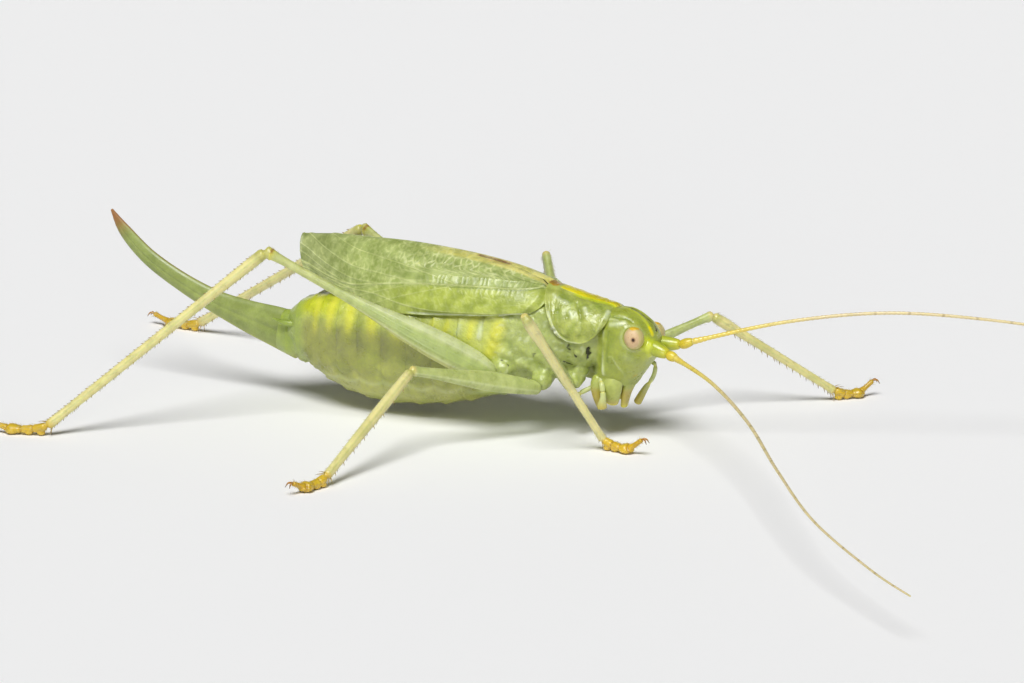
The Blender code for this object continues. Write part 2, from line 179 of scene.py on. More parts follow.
def mirrored(point: Sequence, side: Side) -> Array:
    """A point of the left side, moved to the given side."""
    return np.array([point[0], point[1] * side.value, point[2]], float)


def folded(points: Array) -> Array:
    """Points of both sides, laid over each other on the left side."""
    return points * [1, 0, 1] + np.abs(points) * [0, 1, 0]


def bands(a: Array, places: Sequence[float], width: float) -> Array:
    """Bell-shaped bands round angles that are given in degrees, the strongest where they meet."""
    return np.maximum.reduce([bell(angle_off(a, place), 0, width) for place in places])


def deepen(masks: Masks, name: str, values: Array | float) -> None:
    """Raises a mask to the values, where they are higher."""
    masks[name] = np.maximum(masks.get(name, 0.0), values)


# ---- patches


@dataclass
class Patch:
    """Part of a mesh: points in millimetres, faces, and one number a point for each mask."""

    points: Array
    faces: list[list[int]]
    masks: Masks = field(default_factory=dict)
    uv: Array | None = None


def grid(points: Array, masks: Masks | None = None, closed: bool = True) -> Patch:
    """A patch over rows and columns of points.

    Args:
        points: Rows by columns by 3.
        masks: Values that broadcast to rows by columns.
        closed: Whether the columns run round and the first and last row are capped.

    Returns:
        The patch.
    """
    rows, columns = points.shape[:2]
    index = np.arange(rows * columns).reshape(rows, columns)
    near = np.roll(index, -1, axis=1) if closed else index[:, 1:]
    here = index if closed else index[:, :-1]
    quads = np.stack([here[:-1], near[:-1], near[1:], here[1:]], axis=-1).reshape(-1, 4)
    faces = quads.tolist()
    flat = points.reshape(-1, 3)
    found = {}
    for name, values in (masks or {}).items():
        if np.ndim(values) == 3:
            found[name] = values.reshape(-1, 3)
        else:
            found[name] = np.broadcast_to(values, (rows, columns)).reshape(-1, 1)
    if closed:
        flat = np.vstack([flat, points[0].mean(0), points[-1].mean(0)])
        first, last = rows * columns, rows * columns + 1
        for a, b in zip(here[0].tolist(), near[0].tolist()):
            faces.append([first, b, a])
        for a, b in zip(here[-1].tolist(), near[-1].tolist()):
            faces.append([last, a, b])
        for name, values in found.items():
            ends = [values[:columns].mean(0), values[-columns:].mean(0)]
            found[name] = np.vstack([values, ends])
    return Patch(flat, faces, found)


def outward(points: Array, closed: bool, inside: Array | None = None) -> Array:
    """Unit normals of a grid of points, away from its inside.

    Args:
        points: Rows by columns by 3.
        closed: Whether the columns run round.
        inside: A point or points on the inner side, or None for each row's own middle.

    Returns:
        Normals in the shape of points.
    """
    if closed:
        across = np.roll(points, -1, axis=1) - np.roll(points, 1, axis=1)
    else:
        across = np.gradient(points, axis=1)
    normals = unit(np.cross(across, np.gradient(points, axis=0)))
    if inside is None:
        inside = points.mean(axis=1, keepdims=True)
    facing = np.einsum("rci,rci->rc", normals, points - inside)
    return normals if np.median(facing) > 0 else -normals


def thick(points: Array, depth: Array | float, inside: Array, masks: Masks) -> Patch:
    """A closed plate: a grid of points and its copy a little further in, joined at the rim.

    Args:
        points: The outer face, rows by columns by 3.
        depth: Thickness in millimetres, which may vary over the grid.
        inside: A point on the inner side.
        masks: Values for the outer face, which the inner face repeats.

    Returns:
        The patch.
    """
    rows, columns = points.shape[:2]
    depth = np.broadcast_to(depth, (rows, columns))[..., None]
    inner = points - outward(points, False, inside) * depth
    outer = grid(points, masks, closed=False)
    count = rows * columns
    faces = outer.faces + [[count + i for i in reversed(f)] for f in outer.faces]
    index = np.arange(count).reshape(rows, columns)
    rim = np.concatenate([index[0], index[1:, -1], index[-1, -2::-1], index[-2:0:-1, 0]])
    for a, b in zip(rim.tolist(), np.roll(rim, -1).tolist()):
        faces.append([b, a, count + a, count + b])
    both = {name: np.tile(values, (2, 1)) for name, values in outer.masks.items()}
    return Patch(np.vstack([outer.points, inner.reshape(-1, 3)]), faces, both)


@dataclass
class Limb:
    """A round limb along a smooth path, with domed ends.

    Attributes:
        path: Points of its middle line.
        widths: Half widths across it, from first end to last.
        heights: Half heights towards up.
        up: The direction of its height.
        rows: Rings along it.
        columns: Points round it.
        domes: How far each end is rounded, as a share of its half size.
        shape: Gives a factor for the radius.
    """

    path: Sequence
    widths: Sequence
    heights: Sequence
    up: Sequence = UP
    rows: int = 40
    columns: int = 20
    domes: tuple[float, float] = (0.8, 0.8)
    shape: Shape | None = None

    def __post_init__(self) -> None:
        """Works out where the rings are, closer together near both ends."""
        spread = np.linspace(0, 1, self.rows)
        self.t = 0.4 * spread + 0.6 * (0.5 - 0.5 * np.cos(math.pi * spread))
        self.centres = curve(self.path, self.t)
        self.ahead = unit(np.gradient(self.centres, axis=0))
        self.side = unit(np.cross(self.ahead, np.asarray(self.up, float)))
        self.rise = np.cross(self.side, self.ahead)
        steps = np.linalg.norm(np.diff(self.centres, axis=0), axis=1)
        self.s = np.concatenate([[0], np.cumsum(steps)])
        self.a = TURN * np.arange(self.columns) / self.columns

    @property
    def length(self) -> float:
        """The length along the middle line."""
        return float(self.s[-1])

    def points(self) -> Array:
        """The surface, rows by columns by 3."""
        wide, high = curve(self.widths, self.t), curve(self.heights, self.t)
        small = np.minimum(wide, high)
        factor = np.ones(self.rows)
        for dome, start, away in (
            (self.domes[0], small[0], self.s),
            (self.domes[1], small[-1], self.length - self.s),
        ):
            if dome > 0:
                near = np.clip(away / (dome * start), 0, 1)
                factor = factor * np.sqrt(np.clip(1 - (1 - near) ** 2, 0.02, 1))
        factor = factor[:, None] * np.ones(self.columns)
        if self.shape is not None:
            factor = factor * self.shape(self.t[:, None], self.a[None, :], self.s[:, None])
        across = (np.cos(self.a) * wide[:, None] * factor)[..., None]
        along = (np.sin(self.a) * high[:, None] * factor)[..., None]
        return self.centres[:, None] + self.side[:, None] * across + self.rise[:, None] * along

    def locate(self, points: Array) -> tuple[Array, Array, Array, Array]:
        """Where points lie on the limb.

        Args:
            points: The points, n by 3.

        Returns:
            The share along, the angle round, the distance along and how many half thicknesses
            off the middle line each is.
        """
        apart = ((points[:, None] - self.centres[None]) ** 2).sum(-1)
        i = apart.argmin(1)
        off = points - self.centres[i]
        s = np.clip(self.s[i] + (off * self.ahead[i]).sum(-1), 0, self.length)
        across, along = (off * self.side[i]).sum(-1), (off * self.rise[i]).sum(-1)
        t = np.interp(s, self.s, self.t)
        wide = curve(self.widths, t)
        return t, np.arctan2(along, across), s, np.sqrt(apart.min(1)) / wide

    def at(self, t: Array, degrees: Array) -> tuple[Array, Array, Array]:
        """Points of the surface, with the ways out of it and along it.

        Args:
            t: Shares along the limb.
            degrees: Angles round it.

        Returns:
            The points, the unit vectors out, and the unit vectors along.
        """
        a = np.radians(degrees)[:, None]
        i = np.abs(self.t[None] - t[:, None]).argmin(1)
        wide, high = (curve(keys, t)[:, None] for keys in (self.widths, self.heights))
        out = self.side[i] * np.cos(a) * wide + self.rise[i] * np.sin(a) * high
        return curve(self.path, t) + out, unit(out), self.ahead[i]

    def patch(self, masks: Paint | None = None) -> Patch:
        """The limb as a closed patch."""
        found = masks(self.t[:, None], self.a[None, :], self.s[:, None]) if masks else {}
        return grid(self.points(), found)


def angle_off(a: Array, degrees: float) -> Array:
    """How far each angle is from the given one, in degrees, from 0 to 180."""
    return np.abs((np.degrees(a) - degrees + 180) % 360 - 180)


def spikes(
    roots: Array, ways: Array, lengths: Array, radii: Array, places: Array, bend: float = 0.25
) -> Patch:
    """Thin three-sided bristles or spines, each tapering to a point.

    Args:
        roots: Where each stands, n by 3.
        ways: Unit vectors along them.
        lengths: Their lengths.
        radii: Half thickness at the root.
        places: Each root's place on an unwrap of the skin, n by 2, from 0 to 1.
        bend: How far the tip leans down the limb, as a share of the length.

    Returns:
        One patch with a mask named tip, from 0 at the root to 1 at the point.
    """
    count = len(roots)
    lengths, radii = (np.broadcast_to(v, (count,))[:, None] for v in (lengths, radii))
    side = unit(np.cross(ways, np.array([0.31, 0.52, 0.79])))
    third = np.cross(ways, side)
    lean = unit(side + third) * bend
    levels = []
    for share, size in ((-0.05, 1.0), (0.5, 0.62)):
        middle = roots + (ways + lean * share * abs(share)) * lengths * share
        for k in range(3):
            turn = TURN * k / 3
            spoke = side * math.cos(turn) + third * math.sin(turn)
            levels.append(middle + spoke * radii * size)
    levels.append(roots + (ways + lean) * lengths)
    points = np.stack(levels, axis=1).reshape(-1, 3)
    one = [[0, 1, 4, 3], [1, 2, 5, 4], [2, 0, 3, 5], [3, 4, 6], [4, 5, 6], [5, 3, 6], [2, 1, 0]]
    faces = [[7 * n + k for k in face] for n in range(count) for face in one]
    corner = np.array([(0, 0), (1, 0), (0, 1), (0.4, 0.4), (1, 0.4), (0.4, 1), (1, 1)]) * 0.003
    uv = (places[:, None] * 0.996 + corner[None]).reshape(-1, 2)
    tip = np.tile([0, 0, 0, 0.5, 0.5, 0.5, 1], count).reshape(-1, 1)
    return Patch(points, faces, {"tip": tip.astype(float)}, uv)


def merged(patches: Sequence[Patch]) -> Patch:
    """Several patches as one, with a mask at 0 on a patch that lacks it.

    Args:
        patches: The patches, all with a UV map or none.

    Returns:
        The patch.
    """
    widths = {name: v.shape[1] for patch in patches for name, v in patch.masks.items()}
    faces, start = [], 0
    for patch in patches:
        faces += [[start + i for i in face] for face in patch.faces]
        start += len(patch.points)
    masks = {}
    for name, width in widths.items():
        blank = [np.zeros((len(patch.points), width)) for patch in patches]
        masks[name] = np.vstack([p.masks.get(name, b) for p, b in zip(patches, blank)])
    uv = None if patches[0].uv is None else np.vstack([patch.uv for patch in patches])
    return Patch(np.vstack([patch.points for patch in patches]), faces, masks, uv)


def mesh_of(
    name: str, patch: Patch, scale: float, offset: Sequence = (0, 0, 0)
) -> bpy.types.Mesh:
    """A Blender mesh of a patch, with its masks as attributes.

    Args:
        name: The mesh's name.
        patch: What it holds.
        scale: Mesh units to a millimetre.
        offset: Added to each point after scaling.

    Returns:
        The mesh.
    """
    mesh = bpy.data.meshes.new(name)
    mesh.from_pydata((patch.points * scale + np.asarray(offset)).tolist(), [], patch.faces)
    for mask, values in patch.masks.items():
        wide = values.shape[1] == 3
        layer = mesh.attributes.new(mask, "FLOAT_VECTOR" if wide else "FLOAT", "POINT")
        key = "vector" if wide else "value"
        layer.data.foreach_set(key, np.ascontiguousarray(values, np.float32).ravel())
    if patch.uv is not None:
        corners = np.empty(len(mesh.loops), np.int32)
        mesh.loops.foreach_get("vertex_index", corners)
        layer = mesh.uv_layers.new(name="OFBake")
        layer.data.foreach_set("uv", patch.uv[corners].astype(np.float32).ravel())
    mesh.shade_smooth()
    return mesh


def placed(name: str, data: bpy.types.ID) -> bpy.types.Object:
    """A new object in the scene."""
    thing = bpy.data.objects.new(name, data)
    bpy.context.scene.collection.objects.link(thing)
    return thing


class Skin:
    """One closed skin of small even quads round several overlapping forms, with no seam."""

    IN, OUT = 0.5, -0.52

    def __init__(self, forms: Sequence[Patch], cell: float, smoothing: int) -> None:
        """Wraps the forms.

        Args:
            forms: Closed patches that overlap.
            cell: The size of the skin's quads in millimetres.
            smoothing: How many passes round off the joins.
        """
        mesh = mesh_of("form", merged(forms), 1.0)
        form = placed("form", mesh)
        wrap = form.modifiers.new("wrap", "REMESH")
        wrap.mode = "VOXEL"
        wrap.voxel_size = cell
        made = form.evaluated_get(bpy.context.evaluated_depsgraph_get()).to_mesh()
        flat = np.empty(len(made.vertices) * 3, np.float32)
        made.vertices.foreach_get("co", flat)
        corners = np.empty(len(made.loops), np.int32)
        made.loops.foreach_get("vertex_index", corners)
        self.points = flat.reshape(-1, 3).astype(float)
        self.quads = corners.reshape(-1, 4)
        bpy.data.objects.remove(form)
        bpy.data.meshes.remove(mesh)
        edges = np.concatenate([self.quads[:, [k, (k + 1) % 4]] for k in range(4)])
        self.edges = np.unique(np.sort(edges, axis=1), axis=0)
        for _ in range(smoothing):
            self.relax(self.IN)
            self.relax(self.OUT)
        self.relax(self.IN)

    def relax(self, share: float) -> None:
        """Moves each point some way towards the middle of its neighbours.

        Args:
            share: How far towards it, or away where it is below zero.
        """
        a, b = self.edges.T
        count = len(self.points)
        around = np.bincount(a, minlength=count) + np.bincount(b, minlength=count)
        middle = np.empty_like(self.points)
        for k in range(3):
            near = self.points[:, k]
            total = np.bincount(a, near[b], count) + np.bincount(b, near[a], count)
            middle[:, k] = total / around
        self.points = self.points + (middle - self.points) * share

    def normals(self) -> Array:
        """Unit normals, outward."""
        p = self.points[self.quads]
        flat = np.cross(p[:, 2] - p[:, 0], p[:, 3] - p[:, 1])
        total = np.zeros_like(self.points)
        for k in range(4):
            for axis in range(3):
                corner, part = self.quads[:, k], flat[:, axis]
                total[:, axis] += np.bincount(corner, part, minlength=len(self.points))
        return unit(total)

    def lift(self, heights: Array) -> None:
        """Raises each point along its normal by its height in millimetres."""
        self.points = self.points + self.normals() * heights[:, None]

    def patch(self, masks: Masks) -> Patch:
        """The skin with its masks."""
        columns = {name: values.reshape(len(self.points), -1) for name, values in masks.items()}
        return Patch(self.points, self.quads.tolist(), columns)


@dataclass(frozen=True)
class Mark:
    """A line or a spot on a surface, the same on both sides of the animal.

    Attributes:
        route: Points along it, on the left side. A spot has one.
        width: Half its width.
        height: How far it stands out, below zero for a groove.
        mask: The mask it is drawn in.
        strength: The mask's value on it.
    """

    route: tuple[Point, ...]
    width: float
    height: float
    mask: str
    strength: float

    def reach(self, points: Array) -> Array:
        """How much of the mark is at each point, from 0 to 1."""
        return bell(off_route(folded(points), self.route), 0, self.width)


def marks(mask: str, *rows: tuple) -> list[Mark]:
    """Marks in one mask, each from its width, height and strength and then its route."""
    return [Mark(row[3:], row[0], row[1], mask, row[2]) for row in rows]


def draw(marks: Sequence[Mark], points: Array, masks: Masks) -> Array:
    """Adds marks to the masks and gives the relief they make.

    Args:
        marks: What to draw.
        points: Where the surface is.
        masks: Changed in place.

    Returns:
        A height for each point.
    """
    height = np.zeros(points.shape[:-1])
    for mark in marks:
        there = mark.reach(points)
        height += there * mark.height
        deepen(masks, mark.mask, there * mark.strength)
    return height


# ---- materials


def linear(colour: str) -> Colour:
    """The linear value of an sRGB colour such as "#a9b86a"."""
    parts = [int(colour[i : i + 2], 16) / 255 for i in (1, 3, 5)]
    low = [c / 12.92 if c <= 0.04045 else ((c + 0.055) / 1.055) ** 2.4 for c in parts]
    return (low[0], low[1], low[2], 1.0)


class Shader:
    """A material while its nodes are added."""

    def __init__(self, name: str) -> None:
        """Starts an empty material of the given name."""
        self.material = bpy.data.materials.new(name)
        self.material.use_nodes = True
        self.tree = self.material.node_tree
        self.tree.nodes.clear()
        self.place = self.add("TexCoord", {}).outputs["Object"]

    def add(self, kind: str, inputs: dict, **settings: object) -> bpy.types.Node:
        """Adds a node.

        Args:
            kind: The node's type, without "ShaderNode".
            inputs: A value or another node's output for each input, by name or number.
            **settings: The node's own settings.

        Returns:
            The node.
        """
        node = self.tree.nodes.new("ShaderNode" + kind)
        for name, value in settings.items():
            setattr(node, name, value)
        for key, value in inputs.items():
            if isinstance(value, Socket):
                self.tree.links.new(value, node.inputs[key])
            else:
                node.inputs[key].default_value = value
        return node

    def noise(self, size: float, **inputs: float) -> Socket:
        """A cloudy pattern, of a size in millimetres."""
        inputs = {"Vector": self.place, "Scale": 1 / (size * MM), **inputs}
        return self.add("TexNoise", inputs).outputs[0]

    def flat_noise(self, plan: Socket, scale: float, detail: float) -> Socket:
        """A cloudy pattern over a flat plan."""
        inputs = {"Vector": plan, "Scale": scale, "Detail": detail}
        return self.add("TexNoise", inputs, noise_dimensions="2D").outputs[0]

    def cells(self, size: float, **inputs: float) -> Socket:
        """How far each place is from the middle of its cell, for cells of a size in millimetres."""
        inputs = {"Vector": self.place, "Scale": 1 / (size * MM), **inputs}
        return self.add("TexVoronoi", inputs).outputs["Distance"]

    def spread(
        self, value: Socket, low: float, high: float, top: float = 1.0, bottom: float = 0.0,
        kind: str = "LINEAR",
    ) -> Socket:
        """A value stretched so that low gives bottom and high gives top."""
        inputs = {"Value": value, "From Min": low, "From Max": high, "To Min": bottom,
                  "To Max": top}
        return self.add("MapRange", inputs, interpolation_type=kind).outputs[0]

    def read(self, name: str, output: str = "Fac") -> Socket:
        """A mesh mask's own value."""
        return self.add("Attribute", {}, attribute_name=name).outputs[output]

    def mask(self, name: str, low: float, high: float, top: float) -> Socket:
        """A mesh mask's value, stretched so that low gives 0 and high gives top."""
        return self.spread(self.read(name), low, high, top, kind="SMOOTHSTEP")

    def math(self, operation: str, *values: Socket | float) -> Socket:
        """Sockets and numbers put together."""
        return self.add("Math", dict(enumerate(values)), operation=operation).outputs[0]

    def mix(
        self, amount: Socket | float, below: Socket | Colour, above: Socket | Colour,
        blend: str = "MIX",
    ) -> Socket:
        """One colour over another."""
        inputs = {0: amount, 6: below, 7: above}
        node = self.add("Mix", inputs, data_type="RGBA", blend_type=blend)
        return node.outputs[2]

    def surface(
        self, settings: dict, height: Socket | None = None, depth: float = 0.0
    ) -> bpy.types.Material:
        """Ends the material in one Principled surface.

        Args:
            settings: Inputs of the Principled node.
            height: A socket that gives the fine relief.
            depth: The relief's depth in millimetres.

        Returns:
            The material.
        """
        if height is not None:
            inputs = {"Height": height, "Distance": depth * MM, "Strength": 1.0}
            settings["Normal"] = self.add("Bump", inputs).outputs[0]
        surface = self.add("BsdfPrincipled", settings)
        self.add("OutputMaterial", {"Surface": surface.outputs[0]})
        return self.material


def sinking(weight: float, radius: Point, depth: float) -> dict:
    """Principled inputs for light that sinks in, down to a depth in millimetres."""
    scale = depth * MM
    return {"Subsurface Weight": weight, "Subsurface Radius": radius, "Subsurface Scale": scale}


class Finish(Protocol):
    """What every finish has: a name and a way to build its material."""

    name: str

    def build(self) -> bpy.types.Material:
        """The Blender material."""


@dataclass(frozen=True)
class Tint:
    """A colour that a mask brings in over the ones before it.

    Attributes:
        mask: The mask's name.
        colour: The colour.
        low: The mask's value where the colour starts.
        high: The mask's value where it is full.
        strength: How much of it there is at most.
    """

    mask: str
    colour: str
    low: float = 0.0
    high: float = 1.0
    strength: float = 1.0

    def over(self, shader: Shader, *colours: Socket | Colour) -> list[Socket]:
        """The colours with this one over them."""
        amount = shader.mask(self.mask, self.low, self.high, self.strength)
        return [shader.mix(amount, colour, linear(self.colour)) for colour in colours]


@dataclass(frozen=True)
class Chitin:
    """Insect cuticle: layered chitin and protein with a thin wax outside, grown over living skin.

    The cell pattern of the skin beneath shows as a fine grain, light sinks a little way in, and
    the wax gives a soft gloss. Chitin has an IOR of about 1.56.

    Attributes:
        name: The finish's name.
        colour: What it is where no tint lies.
        fleck: The colour of the pale flecks between skin cells.
        tints: Colours by mask, from the first laid to the last.
        grain: The size of one cell of the grain, in millimetres.
        relief: The depth of the grain, in millimetres.
        roughness: Of the wax.
        depth: How far light sinks in, in millimetres.
        flecks: How strongly the flecks show.
    """

    name: str
    colour: str
    fleck: str
    tints: tuple[Tint, ...] = ()
    grain: float = 0.09
    relief: float = 0.02
    roughness: float = 0.34
    depth: float = 0.22
    flecks: float = 0.45
    IOR: ClassVar[float] = 1.56
    DEPTHS: ClassVar[str] = "#ccd6ba"
    LIGHTS: ClassVar[str] = "#e4e8c4"

    def build(self) -> bpy.types.Material:
        """The Blender material."""
        shader = Shader(self.name)
        cells = shader.cells(self.grain)
        cloud = shader.noise(self.grain * 6, Detail=5.0, Roughness=0.6)
        depths = shader.noise(self.grain * 11, Detail=2.0)
        seams = shader.spread(cells, 0.35, 0.8, self.flecks)
        patches = shader.spread(cloud, 0.42, 0.66, self.flecks)
        colour = shader.mix(patches, linear(self.colour), linear(self.fleck))
        for tint in self.tints:
            (colour,) = tint.over(shader, colour)
        depths = shader.spread(depths, 0.52, 0.34, self.flecks)
        colour = shader.mix(depths, colour, linear(self.DEPTHS), "MULTIPLY")
        colour = shader.mix(patches, colour, linear(self.LIGHTS), "SOFT_LIGHT")
        colour = shader.mix(seams, colour, linear(self.fleck), "SOFT_LIGHT")
        rough, smooth = self.roughness + 0.12, self.roughness - 0.12
        settings = {
            "Base Color": colour,
            "Roughness": shader.spread(cloud, 0.3, 0.7, rough, smooth),
            "IOR": self.IOR,
            "Coat Weight": 0.25,
            "Coat Roughness": 0.2,
            **sinking(0.35, (1.0, 0.9, 0.35), self.depth),
        }
        height = shader.math("MULTIPLY_ADD", cells, -0.6, cloud)
        return shader.surface(settings, height, self.relief)


@dataclass(frozen=True)
class WingMembrane:
    """Toughened forewing: two thin sheets of cuticle over a net of hollow veins.

    Each cell of the net is a small pane, darker in its middle than the vein round it, and it
    glints a little where it bulges.

    Attributes:
        name: The finish's name.
        pane: The colour of the panes.
        vein: The colour of the net.
        tints: Colours by mask.
    """

    name: str
    pane: str
    vein: str
    tints: tuple[Tint, ...]
    DEPTHS: ClassVar[str] = "#c6ccb0"

    def build(self) -> bpy.types.Material:
        """The Blender material."""
        shader = Shader(self.name)
        plan = shader.read("cells", "Vector")
        inputs = {"Vector": plan, "Scale": 1.0, "Randomness": 0.88}
        settings = {"voronoi_dimensions": "2D", "feature": "DISTANCE_TO_EDGE"}
        edge = shader.add("TexVoronoi", inputs, **settings).outputs["Distance"]
        net = shader.spread(edge, 0.05, 0.20, 0.0, 1.0, "SMOOTHSTEP")
        worn = shader.spread(shader.flat_noise(plan, 0.9, 1.0), 0.40, 0.58, 1.0, 0.25)
        seen = shader.math("MULTIPLY", worn, shader.read("clear"))
        seen = shader.math("MULTIPLY", net, seen)
        colour, veins = linear(self.pane), linear(self.vein)
        for tint in self.tints:
            colour, veins = tint.over(shader, colour, veins)
        veins = shader.mix(0.35, veins, linear(self.vein))
        specks = shader.spread(shader.flat_noise(plan, 1.7, 2.0), 0.50, 0.66, 0.55)
        colour = shader.mix(specks, colour, veins)
        colour = shader.mix(seen, colour, veins)
        colour = shader.mix(shader.mask("rib", 0.15, 0.8, 0.8), colour, linear(self.vein))
        shade = shader.spread(shader.noise(0.5, Detail=4.0), 0.38, 0.60)
        shade = shader.mix(shade, linear(self.DEPTHS), linear("#ffffff"))
        colour = shader.mix(0.8, colour, shade, "MULTIPLY")
        settings = {
            "Base Color": colour,
            "Roughness": 0.36,
            "IOR": Chitin.IOR,
            **sinking(0.3, (1.0, 1.0, 0.4), 0.15),
        }
        height = shader.math("MULTIPLY_ADD", shader.cells(0.035), 0.25, seen)
        return shader.surface(settings, height, 0.012)


@dataclass(frozen=True)
class EyeLens:
    """Compound eye: clear corneal facets over coloured pigment cells, moulded as the eye grew.

    The facets give a fine even sheen with no single sharp highlight. IOR 1.43, as in insects'
    lenses.

    Attributes:
        name: The finish's name.
        colour: The pigment's colour.
        facet: The size of one facet, in millimetres.
        tints: Colours by mask.
    """

    name: str
    colour: str
    facet: float
    tints: tuple[Tint, ...]

    def build(self) -> bpy.types.Material:
        """The Blender material."""
        shader = Shader(self.name)
        colour = linear(self.colour)
        for tint in self.tints:
            (colour,) = tint.over(shader, colour)
        shade = shader.mix(shader.noise(0.16, Detail=3.0), linear("#d8c8b8"), linear("#ffffff"))
        settings = {
            "Base Color": shader.mix(0.6, colour, shade, "MULTIPLY"),
            "Roughness": 0.3,
            "IOR": 1.43,
            **sinking(0.3, (1.0, 0.8, 0.5), 0.1),
        }
        lens = shader.cells(self.facet, Randomness=0.35)
        return shader.surface(settings, lens, -0.006)


@dataclass(frozen=True)
class StudioPaper:
    """Matt white background paper, whose pressed fibres scatter light with no gloss at all."""

    name: str
    colour: str

    def build(self) -> bpy.types.Material:
        """The Blender material."""
        shader = Shader(self.name)
        even = shader.spread(shader.noise(0.8, Detail=4.0), 0.0, 1.0, 1.0, 0.96)
        colour = shader.mix(even, linear("#e4e4e4"), linear(self.colour))
        settings = {"Base Color": colour, "Roughness": 0.9, "Specular IOR Level": 0.1}
        return shader.surface(settings)


BODY_TINTS = (
    Tint("thorax", "#aab570", 0, 1, 0.8),
    Tint("head", "#9ca643", 0, 1, 0.85),
    Tint("flank", "#94964e", 0, 1, 0.85),
    Tint("rear", "#bec424", 0, 1, 0.85),
    Tint("tail", "#9aab52", 0, 1, 0.9),
    Tint("belly", "#a6a85e", 0, 1, 0.9),
    # Painted light: brightens the side under the wing, spots on the abdomen and the lower face.
    Tint("glow", "#cdd374", 0, 1, 0.9),
    Tint("yellow", "#dad84e", 0, 1, 0.85),
    # olive: darker green marks and mottling; on the head and the pronotum partly painted shade.
    Tint("olive", "#81933c", 0, 1, 0.85),
    Tint("smudge", "#7f8062", 0, 1, 0.7),
    Tint("ochre", "#c2a738", 0, 1, 0.95),
    # pale: pale seams, folds and mottling, with painted highlights on the head and the pronotum.
    Tint("pale", "#dfe6c4", 0, 1, 0.9),
    Tint("lime", "#c8d23a", 0.1, 0.8, 0.92),
    Tint("stripe", "#e4d618", 0.15, 0.75, 0.95),
    Tint("rust", "#b4821c", 0.15, 0.8, 0.9),
    Tint("groove", "#5c6a28", 0.1, 1, 0.8),
    Tint("black", "#1c180c", 0.2, 0.7, 0.95),
)
BODY_CUTICLE = Chitin("body_cuticle", "#a4ad56", "#ccd28c", BODY_TINTS, grain=0.075)
LEG_CUTICLE = Chitin(
    "leg_cuticle", "#adb772", "#ccd2a0",
    (
        Tint("green", "#a6b56c"),
        Tint("straw", "#e2d898"),
        Tint("amber", "#d4b030"),
        Tint("pale", "#cad1a2"),
        Tint("yellow", "#d0c84c"),
        Tint("ochre", "#c49a18"),
        Tint("rust", "#96703a"),
        Tint("black", "#241c10", 0.3, 0.9, 0.95),
    ),
    grain=0.07, relief=0.010, flecks=0.35,
)
MOUTH_CUTICLE = Chitin(
    "mouth_cuticle", "#afb860", "#ccd28c",
    (Tint("pale", "#c8ce9c"), Tint("ochre", "#bcac50"), Tint("yellow", "#d4ca50")),
    grain=0.06, relief=0.010, flecks=0.3,
)
FEELER_CUTICLE = Chitin(
    "feeler_cuticle", "#e4cc60", "#e8d894",
    (Tint("lime", "#a8b438"), Tint("yellow", "#c8c438"), Tint("rust", "#d6c034"),
     Tint("tan", "#d6c49a"),
     Tint("black", "#6c5434", 0.2, 0.9, 0.55)),
    grain=0.04, relief=0.003, flecks=0.3,
)
SABRE_CUTICLE = Chitin(
    "sabre_cuticle", "#8c9850", "#a4ae6c",
    (Tint("yellow", "#bfc056"), Tint("rust", "#96622c"), Tint("black", "#3c2412", 0.3, 0.9, 0.9)),
    grain=0.08, relief=0.004, roughness=0.5, flecks=0.35,
)
FOOT_CUTICLE = Chitin(
    "foot_cuticle", "#a8741c", "#c79838", (Tint("tip", "#3a2210", 0.2, 1.0, 0.9),),
    grain=0.04, relief=0.001, flecks=0.2,
)
BRISTLE = Chitin(
    "bristle", "#ccc48c", "#dcd6a8", (Tint("tip", "#b09a60", 0.3, 1.0, 0.7),),
    grain=0.05, relief=0.001, flecks=0.2,
)
SPINE = Chitin(
    "spine", "#b89858", "#c8b078", (Tint("tip", "#4a2c14", 0.2, 0.8, 0.95),),
    grain=0.05, relief=0.001, flecks=0.2,
)
FOREWING = WingMembrane(
    "wing_membrane", "#a9b76a", "#d3da98",
    (
        Tint("lower", "#b8c452", 0, 1, 0.85),
        Tint("white", "#e4ebbe", 0.1, 0.9, 0.75),
        Tint("anal", "#f2e88a", 0, 1, 0.9),
        Tint("flush", "#dca070"),
        Tint("crease", "#869648"),
        Tint("rust", "#8c4c2a", 0.2, 0.9, 0.85),
        Tint("pale", "#e6ecd4", 0.2, 0.9, 0.9),
        Tint("tip", "#949c68"),
    ),
)
EYE_LENS = EyeLens(
    "eye_lens", "#e6cba0", 0.022,
    (
        Tint("rim", "#d0c880", 0.0, 1.0, 0.85),
        Tint("gold", "#ecc41c", 0.1, 0.9, 0.95),
        Tint("pupil", "#a8684c", 0.12, 0.45, 0.55),
        Tint("pupil", "#2c1a10", 0.4, 0.8, 0.95),
    ),
)
PAPER = StudioPaper("studio_paper", "#f9f9f9")


# ---- the frame


